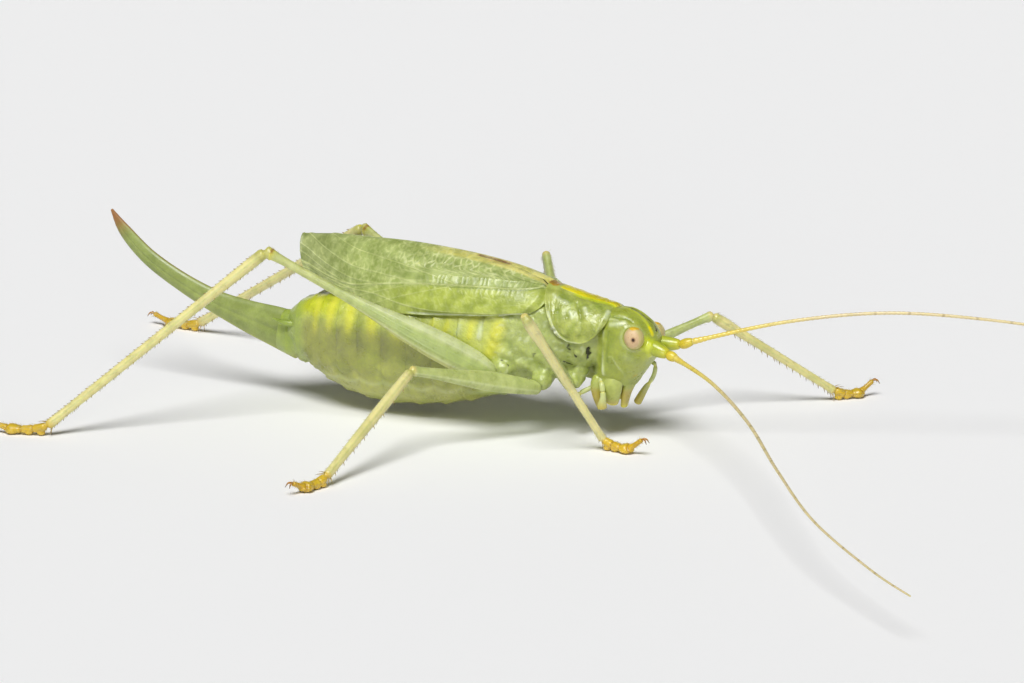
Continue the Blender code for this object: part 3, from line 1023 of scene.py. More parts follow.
class Rig:
    """The frame's datum, and what hangs each visual piece on it."""

    def __init__(self) -> None:
        """Reads the datum from where the frame holds the right eye."""
        low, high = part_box("eye_right")
        self.offset = np.array((low + high) / 2) - np.array(Eye.CENTRE) * [1, -1, 1] * MM
        self.finishes: dict[str, bpy.types.Material] = {}

    def place(self, point: Sequence) -> Vector:
        """A point in millimetres from the pronotum's rear edge, in the frame's metres."""
        return Vector(np.asarray(point, float) * MM + self.offset)

    def add(
        self, name: str, patch: Patch, finish: Finish, slot: str = "", nodes: Sequence[str] = ()
    ) -> bpy.types.Object:
        """Makes a piece that rides on the animal.

        Args:
            name: The piece's name.
            patch: Its surface.
            finish: What it is made of.
            slot: A material slot of the record; not used.
            nodes: The frame's nodes it stands for.

        Returns:
            The piece.
        """
        mesh = mesh_of(name, patch, MM, self.offset)
        if finish.name not in self.finishes:
            self.finishes[finish.name] = finish.build()
        mesh.materials.append(self.finishes[finish.name])
        piece = placed(name, mesh)
        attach(piece, ROOT)
        if nodes:
            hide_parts(*nodes)
        log.info("%-22s %7d points %7d faces", name, len(patch.points), len(patch.faces))
        return piece


# ---- body


def superellipse(a: Array, power: float) -> tuple[Array, Array]:
    """Both coordinates of a squared-off circle at the given angles."""
    c, s = np.cos(a), np.sin(a)
    share = 2 / power
    return np.sign(c) * np.abs(c) ** share, np.sign(s) * np.abs(s) ** share


def globe(centre: Sequence, radii: Sequence, rows: int, columns: int) -> Array:
    """An ellipsoid's points, from its lowest ring to its highest.

    Args:
        centre: Its centre.
        radii: Its three half sizes.
        rows: How many rings it has.
        columns: How many points a ring has.

    Returns:
        The points, rows by columns by 3.
    """
    rise = np.linspace(-0.49, 0.49, rows)[:, None] * math.pi
    a = TURN * np.arange(columns)[None, :] / columns
    flat = [np.cos(rise) * np.cos(a), np.cos(rise) * np.sin(a), np.sin(rise) + 0 * a]
    return np.stack(flat, axis=-1) * np.asarray(radii) + np.asarray(centre)


@dataclass(frozen=True)
class Trunk:
    """Cross-sections along X.

    Attributes:
        x: Where each is.
        top: Its height above the floor at the top.
        floor: And at the bottom.
        half_width: Half its width.
        shoulder: How square its upper half is, from 2 for an ellipse.
    """

    x: tuple[float, ...]
    top: tuple[float, ...]
    floor: tuple[float, ...]
    half_width: tuple[float, ...]
    shoulder: float

    def patch(self, rows: int = 120, columns: int = 96) -> Patch:
        """The closed form through the sections.

        Args:
            rows: How many rings it has.
            columns: How many points a ring has.

        Returns:
            The form.
        """
        t = np.linspace(0, 1, rows)[:, None]
        keys = (self.x, self.top, self.floor, self.half_width)
        x, top, floor, wide = (curve(k, t) for k in keys)
        a = TURN * np.arange(columns)[None, :] / columns
        across, along = superellipse(a, 2.3)
        broad, high = superellipse(a, self.shoulder)
        across, along = np.where(along > 0, (broad, high), (across, along))
        middle = floor + 0.48 * (top - floor)
        z = middle + np.where(along > 0, top - middle, middle - floor) * along
        return grid(np.stack([x + 0 * z, wide * across, z], axis=-1))


@dataclass(frozen=True)
class HeadForm:
    """The head, in level slices from the crown down to the mouth.

    Attributes:
        level: How high each slice is.
        front: How far forward it reaches.
        rear: How far back it reaches.
        half_width: Half its width.
    """

    level: tuple[float, ...] = (5.47, 5.27, 4.92, 4.50, 4.00, 3.50, 3.00, 2.60, 2.32)
    front: tuple[float, ...] = (3.45, 3.92, 4.38, 4.66, 4.70, 4.42, 4.06, 3.80, 3.62)
    rear: tuple[float, ...] = (2.75, 2.35, 2.10, 2.02, 2.02, 2.02, 2.02, 2.04, 2.25)
    half_width: tuple[float, ...] = (0.42, 0.78, 1.08, 1.24, 1.28, 1.24, 1.12, 0.98, 0.78)
    SOCKET: ClassVar[tuple[Point, Point]] = ((4.20, 0.42, 4.02), (4.70, 0.37, 3.90))

    def patches(self) -> list[Patch]:
        """The skull and the raised sockets of the feelers."""
        t = np.linspace(0, 1, 110)[:, None]
        z, front, rear, wide = (
            curve(k, t) for k in (self.level, self.front, self.rear, self.half_width)
        )
        along, across = superellipse(TURN * np.arange(110)[None, :] / 110, 2.2)
        corner = bell(np.abs(across), 0.80, 0.34) * bell(z, 4.5, 0.45) * (along > 0)
        x = (front + rear) / 2 + (front - rear) / 2 * along * (1 - 0.32 * corner)
        skull = grid(np.stack([x, wide * across, z + 0 * x], axis=-1))
        forms = [skull]
        for side in Side:
            path = [mirrored(p, side) for p in self.SOCKET]
            forms.append(Limb(path, (0.50, 0.36), (0.48, 0.36), rows=20, columns=24).patch())
        return forms


THORAX = Trunk(
    (2.55, 1.90, 1.00, 0.0, -1.10, -2.25), (5.00, 5.25, 5.42, 5.45, 5.35, 5.20),
    (3.20, 2.82, 2.45, 2.02, 1.58, 1.22), (0.95, 1.25, 1.42, 1.50, 1.62, 1.70), 5.0,
)
ABDOMEN = Trunk(
    (-1.6, -2.31, -4.00, -5.80, -7.50, -9.00, -10.20, -11.00, -11.45),
    (5.18, 5.18, 5.06, 5.02, 4.95, 4.80, 4.58, 4.22, 3.85),
    (1.30, 1.20, 0.74, 0.50, 0.50, 0.85, 1.40, 1.85, 2.30),
    (1.62, 1.70, 1.88, 1.95, 1.90, 1.68, 1.30, 0.95, 0.62), 3.6,
)
TERGITE_REAR = (-2.30, -3.35, -4.45, -5.55, -6.65, -7.75, -8.75, -9.60, -10.30, -10.95, -11.60)
BODY_MARKS = marks(
    # The head: olive creases and bands of painted shade, behind and below the eye and beside the
    # folds at its back; pale folds at its back, pale loops round the feeler sockets and pale
    # patches above the eye, all painted highlights; the pale seam of the cheek, the yellow line by
    # the crown and specks.
    "olive",
    (0.06, -0.04, 0.8, (2.98, 0.86, 5.15), (3.2, 0.89, 5.14), (3.61, 0.83, 5.13),
     (3.82, 0.83, 5.03)),
    (0.07, -0.03, 0.7, (2.94, 1.22, 4.6), (2.9, 1.28, 4.0), (2.88, 1.2, 3.3)),
    (0.25, 0.0, 0.25, (3.9, 1.2, 3.8), (4.1, 0.95, 3.2)),
    (0.22, 0.0, 0.35, (3.05, 1.12, 4.55), (3.2, 1.22, 3.95)),
    (0.12, -0.03, 0.8, (2.62, 1.05, 4.95), (2.58, 1.22, 4.3), (2.66, 1.2, 3.5)),
    (0.1, -0.01, 0.5, (3.2, 0.62, 5.3), (3.6, 0.55, 5.24), (4.05, 0.56, 5.0), (4.25, 0.62, 4.8)),
    (0.14, -0.01, 0.5, (3.15, 1.25, 4.3), (3.05, 1.26, 3.8)),
) + marks(
    "pale",
    (0.05, 0.03, 0.45, (3.0, 1.2, 3.55), (3.14, 1.22, 3.57), (3.33, 1.18, 3.25),
     (3.5, 1.05, 2.96), (3.59, 0.85, 2.67)),
    (0.08, 0.05, 0.8, (2.7, 1.16, 4.6), (2.68, 1.26, 4.0), (2.68, 1.18, 3.3), (2.7, 1.02, 2.8)),
    (0.06, 0.04, 0.5, (2.48, 1.08, 4.5), (2.46, 1.18, 3.9), (2.46, 1.1, 3.2)),
    (0.075, 0.05, 0.9, (4.4, 0.86, 4.3), (4.6, 0.76, 4.22), (4.7, 0.7, 4.02)),
    (0.07, 0.03, 0.9, (4.28, 0.98, 4.22), (4.38, 0.92, 4.05)),
    (0.07, 0.03, 0.7, (4.36, 0.96, 3.84), (4.5, 0.86, 3.72)),
    (0.13, 0.03, 0.8, (3.05, 1.08, 4.86), (3.3, 1.08, 4.9), (3.55, 1.02, 4.98)),
    (0.08, 0.02, 0.6, (2.9, 0.95, 5.05), (3.25, 0.95, 5.03)),
    (0.2, 0.01, 0.3, (3.72, 1.18, 3.6), (3.95, 1.12, 3.4)),
    (0.05, -0.015, 0.4, (4.72, 0.0, 3.5), (4.2, 0.0, 2.9)),
) + marks(
    "black",
    (0.04, -0.01, 0.9, (3.45, 1.26, 3.9)),
    (0.035, -0.01, 0.9, (4.19, 0.96, 3.93)),
    (0.05, -0.01, 0.9, (3.53, 0.82, 2.57)),
    (0.035, 0.0, 0.9, (3.3, 0.0, 5.5), (3.75, 0.0, 5.4), (4.25, 0.0, 5.05), (4.46, 0.0, 4.85)),
    (0.05, -0.01, 0.95, (4.44, 0.0, 4.9), (4.54, 0.04, 4.76), (4.58, 0.12, 4.66)),
    (0.04, 0.0, 0.6, (4.46, 0.16, 4.84)),
) + marks(
    "lime",
    (0.1, 0.02, 0.7, (2.75, 0.12, 5.54), (3.09, 0.12, 5.51), (3.46, 0.2, 5.45),
     (3.74, 0.23, 5.35), (4.05, 0.27, 5.16), (4.26, 0.34, 4.96), (4.43, 0.42, 4.75),
     (4.52, 0.44, 4.6)),
    (0.36, 0.0, 1.0, (4.35, 0.78, 4.2), (4.52, 0.58, 4.05), (4.66, 0.55, 3.72)),
    (0.3, 0.0, 0.45, (4.2, 1.02, 3.7), (4.52, 0.7, 3.5)),
) + marks(
    "stripe",
    (0.085, 0.01, 0.85, (4.4, 0.4, 4.8), (4.47, 0.42, 4.7), (4.56, 0.44, 4.52)),
    (0.045, 0.025, 0.8, (4.46, 0.62, 4.34), (4.58, 0.52, 4.5), (4.7, 0.34, 4.56),
     (4.78, 0.2, 4.44)),
) + marks(
    "groove",
    (0.06, -0.01, 0.7, (3.0, 0.0, 5.54), (3.75, 0.0, 5.4), (4.25, 0.0, 5.05)),
) + marks(
    # Painted light on the lower face.
    "glow",
    (0.5, 0.0, 0.35, (3.7, 1.02, 3.1), (4.25, 0.66, 3.1), (4.05, 0.62, 2.6)),
) + marks(
    "ochre",
    (0.06, -0.04, 0.7, (3.6, 0.0, 2.75), (3.85, 0.45, 2.8), (3.75, 0.72, 2.62)),
) + marks(
    # The side of the thorax: the slit of the ear's breathing hole, seams and specks.
    "black",
    (0.1, -0.08, 1.0, (2.07, 1.15, 3.8), (2.06, 1.12, 3.52)),
    (0.055, -0.07, 1.0, (2.03, 1.13, 3.62), (2.0, 1.0, 3.27)),
    (0.05, -0.04, 0.9, (1.92, 1.18, 3.84), (2.06, 1.14, 3.78)),
    (0.045, -0.04, 0.9, (2.16, 1.08, 3.58), (2.04, 1.08, 3.44)),
    (0.06, -0.02, 0.9, (1.32, 1.34, 3.92), (1.26, 1.34, 3.8), (1.36, 1.33, 3.7)),
    (0.06, -0.02, 0.8, (1.2, 1.33, 3.66), (1.34, 1.31, 3.6)),
    (0.055, -0.02, 0.8, (0.96, 1.35, 3.8)),
    (0.035, -0.01, 0.7, (0.7, 1.4, 3.95)),
    (0.035, -0.01, 0.7, (0.3, 1.44, 3.2)),
    (0.035, -0.01, 0.7, (-1.05, 1.58, 3.5)),
    (0.035, -0.01, 0.6, (-1.35, 1.58, 3.86)),
    (0.06, -0.03, 0.8, (1.52, 1.29, 3.8), (1.5, 1.27, 3.62), (1.6, 1.24, 3.42)),
    (0.045, -0.02, 0.7, (1.66, 1.24, 3.78), (1.5, 1.27, 3.62)),
    (0.065, -0.02, 0.8, (1.04, 1.27, 3.22), (1.2, 1.2, 3.1), (1.36, 1.11, 3.08)),
    (0.06, -0.02, 1.0, (-0.3, 1.46, 3.52), (-0.16, 1.46, 3.4), (-0.02, 1.46, 3.5)),
    (0.06, -0.02, 1.0, (-0.16, 1.46, 3.4), (-0.14, 1.45, 3.24)),
    (0.055, -0.02, 1.0, (-0.78, 1.48, 3.14)),
    (0.06, -0.02, 0.9, (-1.46, 1.69, 3.05), (-1.16, 1.71, 2.88)),
) + marks(
    "groove",
    (0.06, -0.06, 0.5, (0.43, 1.37, 4.43), (0.55, 1.42, 3.7), (0.8, 1.3, 2.8)),
    (0.06, -0.06, 0.5, (-0.9, 1.42, 4.3), (-0.65, 1.49, 3.73), (-0.62, 1.37, 2.67)),
    (0.07, -0.06, 0.4, (-1.95, 1.55, 4.4), (-1.75, 1.58, 3.6), (-1.6, 1.5, 2.9)),
    (0.05, -0.04, 0.4, (1.3, 1.38, 4.1), (1.45, 1.33, 3.4), (1.4, 1.15, 2.9)),
) + marks(
    "yellow",
    (0.3, 0.07, 0.9, (-1.6, 1.62, 4.4), (-1.75, 1.66, 3.95), (-1.95, 1.7, 3.3)),
) + marks(
    # The abdomen: spots of painted light under the wing and smudges along its side.
    "glow",
    (0.55, 0.0, 0.4, (-7.2, 1.8, 2.5), (-6.4, 1.88, 2.35), (-5.4, 1.95, 2.5)),
    (0.4, 0.0, 0.35, (-8.9, 1.6, 3.9), (-9.3, 1.45, 3.5)),
) + marks(
    "pale",
    (0.13, 0.03, 0.8, (-2.35, 1.66, 4.6), (-2.45, 1.7, 3.9)),
    (0.11, 0.02, 0.6, (-3.25, 1.72, 4.6), (-3.35, 1.8, 4.0)),
) + marks(
    "yellow",
    (0.15, 0.02, 0.9, (-2.75, 1.7, 4.6), (-2.85, 1.76, 3.9)),
    (0.15, 0.02, 0.8, (-3.75, 1.75, 4.6), (-3.85, 1.82, 4.1)),
    (0.16, 0.02, 0.7, (-4.4, 1.78, 4.6), (-4.45, 1.86, 4.1)),
    (0.16, 0.02, 0.7, (-7.1, 1.6, 4.6), (-7.05, 1.8, 3.8)),
    (0.2, 0.02, 0.7, (-8.1, 1.5, 4.55), (-8.05, 1.7, 3.7)),
) + marks(
    "smudge",
    (0.42, 0.0, 0.9, (-8.6, 1.74, 2.74)),
    (0.36, 0.0, 0.8, (-7.66, 1.82, 3.07)),
    (0.34, 0.0, 0.7, (-7.56, 1.54, 4.06)),
    (0.3, 0.0, 0.6, (-6.5, 1.85, 3.6), (-6.4, 1.9, 2.6)),
    (0.3, 0.0, 0.5, (-5.4, 1.9, 3.6), (-5.3, 1.95, 2.6)),
)


def lean(points: Array, way: int = 1) -> Array:
    """Points of a level head, moved to where its tilt to the left puts them.

    Args:
        points: The points, in their last axis.
        way: 1 to tilt them, -1 to level tilted ones.

    Returns:
        The moved points.
    """
    moved = np.array(points, float)
    share = ramp(2.0, 2.9, moved[..., 0])
    moved[..., 2] -= way * 0.13 * share * (moved[..., 1] + Eye.CENTRE[1])
    return moved


class Body:
    """Head, thorax, abdomen and leg roots, as one skin."""

    CELL, SMOOTHING = 0.0525, 5

    def __init__(self, legs: Sequence["Leg"]) -> None:
        """Wraps the skin and paints it.

        Args:
            legs: The legs, whose roots are part of the skin.
        """
        neck = Limb([(1.9, 0, 4.15), (2.7, 0, 4.10)], (1.15, 1.10), (1.05, 1.05), rows=20)
        tail = Limb([(-9.6, 0, 2.95), (-10.8, 0, 2.66), (-12.1, 0, 2.86)], (1.3, 0.88, 0.40),
                    (1.4, 1.10, 0.80), rows=60, columns=48, domes=(0.8, 0.2))
        head = HeadForm().patches()
        for form in head:
            form.points = lean(form.points)
        forms = [THORAX.patch(), ABDOMEN.patch(), neck.patch(), *head, tail.patch()]
        forms += [leg.coxa() for leg in legs]
        self.skin = Skin(forms, self.CELL, self.SMOOTHING)
        self.masks: Masks = {}
        points = lean(self.skin.points, -1)
        height = draw(BODY_MARKS, points, self.masks)
        self.masks["black"] *= ramp(-1.1, -0.1, ripple(points, 0.11))
        height += self.sockets(points) + self.thorax(points) + self.abdomen(points)
        self.skin.lift(height)
        self.masks |= self.zones()

    def sockets(self, points: Array) -> Array:
        """Paints the pale rims round the eyes and gives their height.

        Args:
            points: The skin's points, with the head level.

        Returns:
            A height for each point.
        """
        x = points[:, 0]
        off = off_route(folded(points), [Eye.CENTRE])
        deepen(self.masks, "pale", 0.35 * bell(off, 0.52, 0.09) * ramp(3.2, 3.5, x))
        return 0.04 * bell(off, 0.49, 0.06) * ramp(2.9, 3.3, x)

    def thorax(self, points: Array) -> Array:
        """Paints the mottled thorax and painted light on the side behind it, under the wing, and
        gives their swells.

        Args:
            points: The skin's points, with the head level.

        Returns:
            A height for each point.
        """
        x, _, z = points.T
        # Painted light on the side under the wing, where the wing's shade falls.
        bright = ramp(-1.0, -1.7, x) * ramp(-5.4, -3.4, x) * ramp(2.9, 3.6, z) * ramp(5.2, 4.8, z)
        deepen(self.masks, "glow", 0.9 * bright)
        here = ramp(2.3, 1.9, x) * ramp(-2.6, -1.8, x)
        mottle = ripple(points, 0.23) + 0.9 * ripple(points * [1, 0.7, 0.8], 0.11)
        deepen(self.masks, "pale", 0.5 * here * ramp(0.2, 1.6, mottle))
        deepen(self.masks, "olive", 0.35 * here * ramp(-0.2, -1.4, mottle))
        coarse = (0.012 + 0.03 * here) * ripple(points, 0.34)
        return coarse + (0.006 + 0.012 * here) * ripple(points, 0.15)

    def abdomen(self, points: Array) -> Array:
        """Paints the bands and smudges of the abdomen and gives the relief of its plates.

        Args:
            points: The skin's points, with the head level.

        Returns:
            A height for each point.
        """
        x, _, z = points.T
        edges = np.array(TERGITE_REAR)
        i = np.clip(np.searchsorted(-edges, -x), 1, len(edges) - 1)
        share = np.clip((edges[i - 1] - x) / (edges[i - 1] - edges[i]), 0, 1)
        behind = ramp(-2.1, -2.5, x)
        fold = bell(z, 1.62 - 0.18 * np.sin(math.pi * share), 0.12)
        deepen(self.masks, "pale", 0.3 * behind * fold)
        streak = ramp(0.1, 1.1, ripple(points * [1, 0.3, 0.35], 0.3)) * ramp(3.2, 4.0, z)
        deepen(self.masks, "yellow", 0.6 * behind * streak)
        reach = z + 0.35 * ripple(points * [1, 0.2, 0.2], 0.5)
        band = bell(share, 0.42, 0.27) * ramp(2.9, 4.0, reach)
        deepen(self.masks, "yellow", 0.85 * band * ramp(-5.0, -6.2, x) * ramp(-10.4, -9.8, x))
        murk = bell(share, 0.97, 0.20) * bell(z, 3.25, 0.65) * ramp(-5.6, -6.4, x)
        cloud = ramp(0.1, 1.2, ripple(points * [1, 0.5, 0.6], 0.5)) * bell(z, 3.0, 0.8)
        murk = np.maximum(murk, cloud) * ramp(-5.0, -6.6, x) * ramp(-10.0, -9.0, x)
        self.masks["smudge"] *= 0.7
        deepen(self.masks, "smudge", 0.65 * murk)
        seam = behind * (1 - ramp(2.0, 1.5, z)) * bell(share, 0.0, 0.05)
        deepen(self.masks, "groove", 0.5 * seam)
        plate = 0.075 * share**3 - 0.03 * bell(share, 0.0, 0.08)
        hem = bell(z, 1.78 + 0.12 * np.sin(TURN * share), 0.16)
        return behind * (plate * (1 - 0.5 * bell(z, 1.75, 0.35)) - 0.07 * hem)

    def zones(self) -> Masks:
        """How much each point belongs to each part of the body."""
        x, _, z = self.skin.points.T
        head, behind = ramp(2.2, 2.6, x), ramp(-2.3, -3.2, x)
        return {
            "head": head,
            "thorax": (1 - head) * (1 - behind),
            "flank": behind * ramp(4.3, 3.3, z) * (1 - ramp(-10.2, -11.0, x)),
            "rear": ramp(-7.8, -9.4, x) * ramp(3.7, 4.5, z - 0.12 * (x + 9)) * 0.9,
            "tail": ramp(-10.3, -11.0, x),
            "belly": behind * ramp(2.2, 1.3, z + 0.25 * np.sin(5.7 * x)),
        }


class Pronotum:
    """The saddle over the thorax, with a lobe down each side."""

    LENGTH, HALF_WIDTH, WAIST, FALL, PLATE = 2.95, 1.60, 4.50, 1.3, 0.16
    INSIDE = (1.4, 0.0, 4.2)
    RIDGE = (6.10, 5.90, 5.66, 5.50)
    LOBE = (4.70, 4.16, 4.04, 4.14, 4.50)
    MARKS = (
        *marks(
            "groove",
            (0.07, -0.05, 0.4, (1.47, 0.88, 5.53), (1.73, 1.17, 5.26), (1.85, 1.36, 4.99)),
        ),
        # Olive creases and patches; the patch by the lobe's front margin is painted shade.
        *marks(
            "olive",
            (0.08, -0.03, 0.5, (1.85, 1.36, 4.99), (1.9, 1.5, 4.55), (1.8, 1.52, 4.25)),
            (0.06, -0.03, 0.6, (0.62, 1.1, 5.55), (0.74, 1.5, 4.95), (0.95, 1.58, 4.45),
             (1.3, 1.55, 4.2)),
            (0.16, 0.0, 0.7, (0.79, 1.32, 5.28), (0.95, 1.42, 5.0)),
            (0.18, 0.0, 0.6, (1.46, 1.54, 4.5), (1.6, 1.5, 4.8)),
            (0.2, 0.0, 0.4, (2.3, 1.35, 4.8), (2.45, 1.4, 4.6)),
        ),
        # Pale patches of painted highlight on the saddle and the lobes.
        *marks(
            "pale",
            (0.13, 0.02, 0.55, (0.45, 0.85, 5.72), (0.8, 1.0, 5.6), (1.1, 1.02, 5.52)),
            (0.09, 0.03, 0.8, (1.32, 1.26, 5.25), (1.48, 1.38, 5.04)),
            (0.12, 0.03, 0.6, (1.85, 1.0, 5.38), (1.98, 1.14, 5.22)),
            (0.11, 0.03, 0.75, (2.8, 0.8, 5.34), (2.78, 1.05, 5.1)),
            (0.1, 0.03, 0.4, (2.7, 1.2, 4.9), (2.55, 1.32, 4.6)),
        ),
    )

    def surface(self) -> tuple[Array, Array, Array]:
        """The outer face, and the share along and across of each point."""
        u = np.linspace(0, 1, 90)[:, None]
        v = np.linspace(0, 1, 210)[None, :]
        side = 2 * v - 1
        fall = np.abs(side)
        rear = 0.70 * fall**2
        front = self.LENGTH - 0.35 * fall**4
        x = rear + (front - rear) * u
        ridge = curve(self.RIDGE, x / self.LENGTH)
        edge = (curve(self.LOBE, u) - self.WAIST) / self.FALL
        turn = np.arccos(np.where(u > 0.02, edge, math.cos(1.5)))
        angle = turn * fall
        radius = np.where(angle < math.pi / 2, ridge - self.WAIST, self.FALL)
        width = self.HALF_WIDTH * (1 - 0.16 * u**2)
        y = np.sign(side) * width * np.sin(angle)
        z = self.WAIST + radius * np.cos(angle)
        return np.stack([x, y, z], axis=-1), u + 0 * v, v + 0 * u

    def patch(self) -> Patch:
        """The plate with its grooves, its rim, its coloured band, painted highlights and painted
        shade.
        """
        points, u, v = self.surface()
        masks: Masks = {}
        x, y, z = np.moveaxis(points, -1, 0)
        height = draw(self.MARKS, points, masks)
        rim = np.maximum(bell(u, 0, 0.02), np.maximum(bell(v, 0, 0.013), bell(v, 1, 0.013)))
        height += 0.045 * rim - 0.03 * bell(u, 0.07, 0.025) - 0.10 * bell(u, 1, 0.05)
        # Painted highlight along the rear and lower rim of each lobe.
        lobe = np.maximum(bell(u, 0.03, 0.022), bell(v, 1, 0.012) + bell(v, 0, 0.012))
        lobe = np.clip(lobe * ramp(5.5, 5.1, z) * ramp(2.1, 1.6, x), 0, 1)
        deepen(masks, "pale", 0.8 * lobe)
        middle = np.abs(y)
        edge = 0.30 + 0.10 * bell(x, 1.2, 0.7) - 0.05 * ramp(2.2, 2.9, x)
        band = ramp(edge + 0.08, edge, middle)
        masks["stripe"] = band * ramp(0.35, 0.75, x)
        masks["lime"] = bell(middle, edge + 0.10, 0.10) * ramp(0.9, 1.5, x)
        deepen(masks, "pale", 0.7 * band * bell(x, 0.85, 0.3))
        masks["rust"] = band * ramp(0.52, 0.30, x) * ramp(-0.1, 0.05, x)
        deepen(masks, "rust", 0.5 * bell(middle, 0.02, 0.05) * ramp(0.3, 0.6, x))
        # Painted shade: a darker olive band under the stripe.
        under = bell(middle, edge + 0.50, 0.34) * ramp(0.2, 0.9, x)
        deepen(masks, "olive", 0.85 * under * (0.8 + 0.3 * ripple(points, 0.3)))
        deepen(masks, "olive", 0.22)
        height += 0.02 * band + 0.012 * ripple(points, 0.35) + 0.007 * ripple(points, 0.16)
        inside = np.array(self.INSIDE)
        points = points + outward(points, False, inside) * height[..., None]
        points[..., 2] -= 0.12 * np.clip(y + 0.3, 0, None)
        return thick(points, self.PLATE, inside, masks)


class Eye:
    """A compound eye, bulging from the side of the head."""

    CENTRE = (4.02, 1.09, 4.40)
    RADII = (0.40, 0.37, 0.46)
    PUPIL = (0.28, 0.95, -0.06)
    SPOTS = ((0.1, 0.9, 0.4), (0.55, 0.8, 0.15), (0.2, 0.92, -0.35), (-0.2, 0.9, 0.1))

    def patch(self, side: Side) -> Patch:
        """The eye on the given side.

        Args:
            side: The side it is on.

        Returns:
            The eye, with its masks.
        """
        centre = mirrored(self.CENTRE, side)
        points = globe(centre, self.RADII, 90, 120)
        local = (points - centre) / self.RADII
        seat = np.abs(local[..., 1])
        gold = ramp(0.66, 0.82, local[..., 2] - 0.22 * np.abs(local[..., 0] - 0.1))
        rim = ramp(0.80, 0.35, seat)
        pupil = bell(off_route(local, [mirrored(self.PUPIL, side)]), 0, 0.22)
        for spot in self.SPOTS:
            dot = bell(off_route(local, [unit(mirrored(spot, side))]), 0, 0.05)
            pupil = np.maximum(pupil, 0.5 * dot)
        ledge = bell(seat, 0.42, 0.07)
        points = centre + (points - centre) * (1 + 0.035 * ledge)[..., None]
        return grid(lean(points), {"gold": gold, "pupil": pupil, "rim": rim})


# ---- mouth and feelers


@dataclass(frozen=True)
class Plate:
    """A mouth plate.

    Attributes:
        path: Its middle line, on the left side.
        widths: Half its width along it.
        heights: Half its thickness.
        up: The direction of its thickness.
        ochre: The share along it where its ochre end starts.
    """

    path: tuple[Point, ...]
    widths: tuple[float, ...]
    heights: tuple[float, ...]
    up: Point
    ochre: float

    def paint(self, t: Array, a: Array, s: Array) -> Masks:
        """Its masks from the share along it."""
        ochre = ramp(self.ochre, self.ochre + 0.35, t)
        return {"yellow": ramp(0.80, 0.95, t), "ochre": ochre}

    def patch(self, side: Side) -> Patch:
        """The plate on the given side."""
        path = [mirrored(p, side) for p in self.path]
        return Limb(path, self.widths, self.heights, self.up, 60, 44).patch(self.paint)


LABRUM = Plate(((3.50, 0, 2.95), (3.44, 0, 2.38), (3.26, 0, 1.84), (3.15, 0, 1.20)),
               (0.64, 0.56, 0.38, 0.22), (0.26, 0.22, 0.17, 0.12), (1, 0, 0), 0.35)
MANDIBLE = Plate(((2.95, 0.56, 3.25), (2.92, 0.72, 2.42), (2.88, 0.62, 1.90), (2.80, 0.42, 1.40)),
                 (0.40, 0.46, 0.38, 0.24), (0.22, 0.29, 0.26, 0.16), (0, 1, 0), 0.62)
LABIUM = Plate(((2.32, 0, 2.60), (2.10, 0, 1.90), (2.22, 0, 1.14)), (0.58, 0.46, 0.26),
               (0.26, 0.24, 0.16), (1, 0, 0), 0.20)
MAXILLA = Plate(((2.40, 0.70, 2.62), (2.26, 0.74, 2.25), (2.26, 0.62, 1.72), (2.38, 0.44, 1.14)),
                (0.22, 0.24, 0.20, 0.15), (0.20, 0.20, 0.16, 0.12), (0, 1, 0), 0.25)


@dataclass(frozen=True)
class Palp:
    """A jointed mouth feeler.

    Attributes:
        path: Its middle line.
        joints: Where its segments meet, as shares of its length.
        radius: Half thickness in the middle of a segment.
    """

    path: tuple[Point, ...]
    joints: tuple[float, ...]
    radius: float

    def shape(self, t: Array, a: Array, s: Array) -> Array:
        """Its thickness, narrow at each joint and widest near its blunt tip.

        Args:
            t: The share along it.
            a: The angle round it; not used.
            s: The distance along it; not used.

        Returns:
            A factor for the radius.
        """
        factor = 0.66 + 0.55 * ramp(0.62, 0.95, t)
        for joint in self.joints:
            factor = factor * (1 - 0.34 * bell(t, joint, 0.025))
        return factor

    def paint(self, t: Array, a: Array, s: Array) -> Masks:
        """Its masks: pale all over, which is partly painted light, with yellow joints and an ochre
        tip.
        """
        seams = sum(bell(t, joint, 0.03) for joint in self.joints)
        return {"pale": 0.6, "yellow": 0.6 * seams, "ochre": 0.85 * ramp(0.62, 0.95, t)}

    def patch(self) -> Patch:
        """The palp."""
        radii = (self.radius, self.radius)
        limb = Limb(self.path, radii, radii, (0.2, 0.3, 1), 110, 28, shape=self.shape)
        return limb.patch(self.paint)


PALPS = {
    "palp_maxillary_right": Palp(
        ((2.42, -0.72, 2.56), (2.62, -1.00, 2.26), (2.68, -1.04, 1.82), (2.60, -0.98, 1.32)),
        (0.22, 0.50), 0.17),
    "palp_maxillary_left": Palp(
        ((2.95, 0.75, 2.35), (3.50, 1.05, 2.84), (4.02, 1.04, 2.86), (4.00, 1.02, 2.36),
         (3.62, 0.98, 1.74), (3.30, 0.94, 1.14)), (0.22, 0.45, 0.7), 0.135),
    "palp_labial_right": Palp(
        ((2.15, -0.48, 2.12), (1.60, -0.75, 1.82), (1.42, -0.80, 1.52), (1.86, -0.86, 1.14)),
        (0.35, 0.62), 0.15),
    "palp_labial_left": Palp(
        ((2.40, 0.45, 2.00), (1.94, 0.84, 1.78), (1.90, 0.98, 1.44), (2.18, 0.98, 1.08)),
        (0.35, 0.68), 0.15),
}


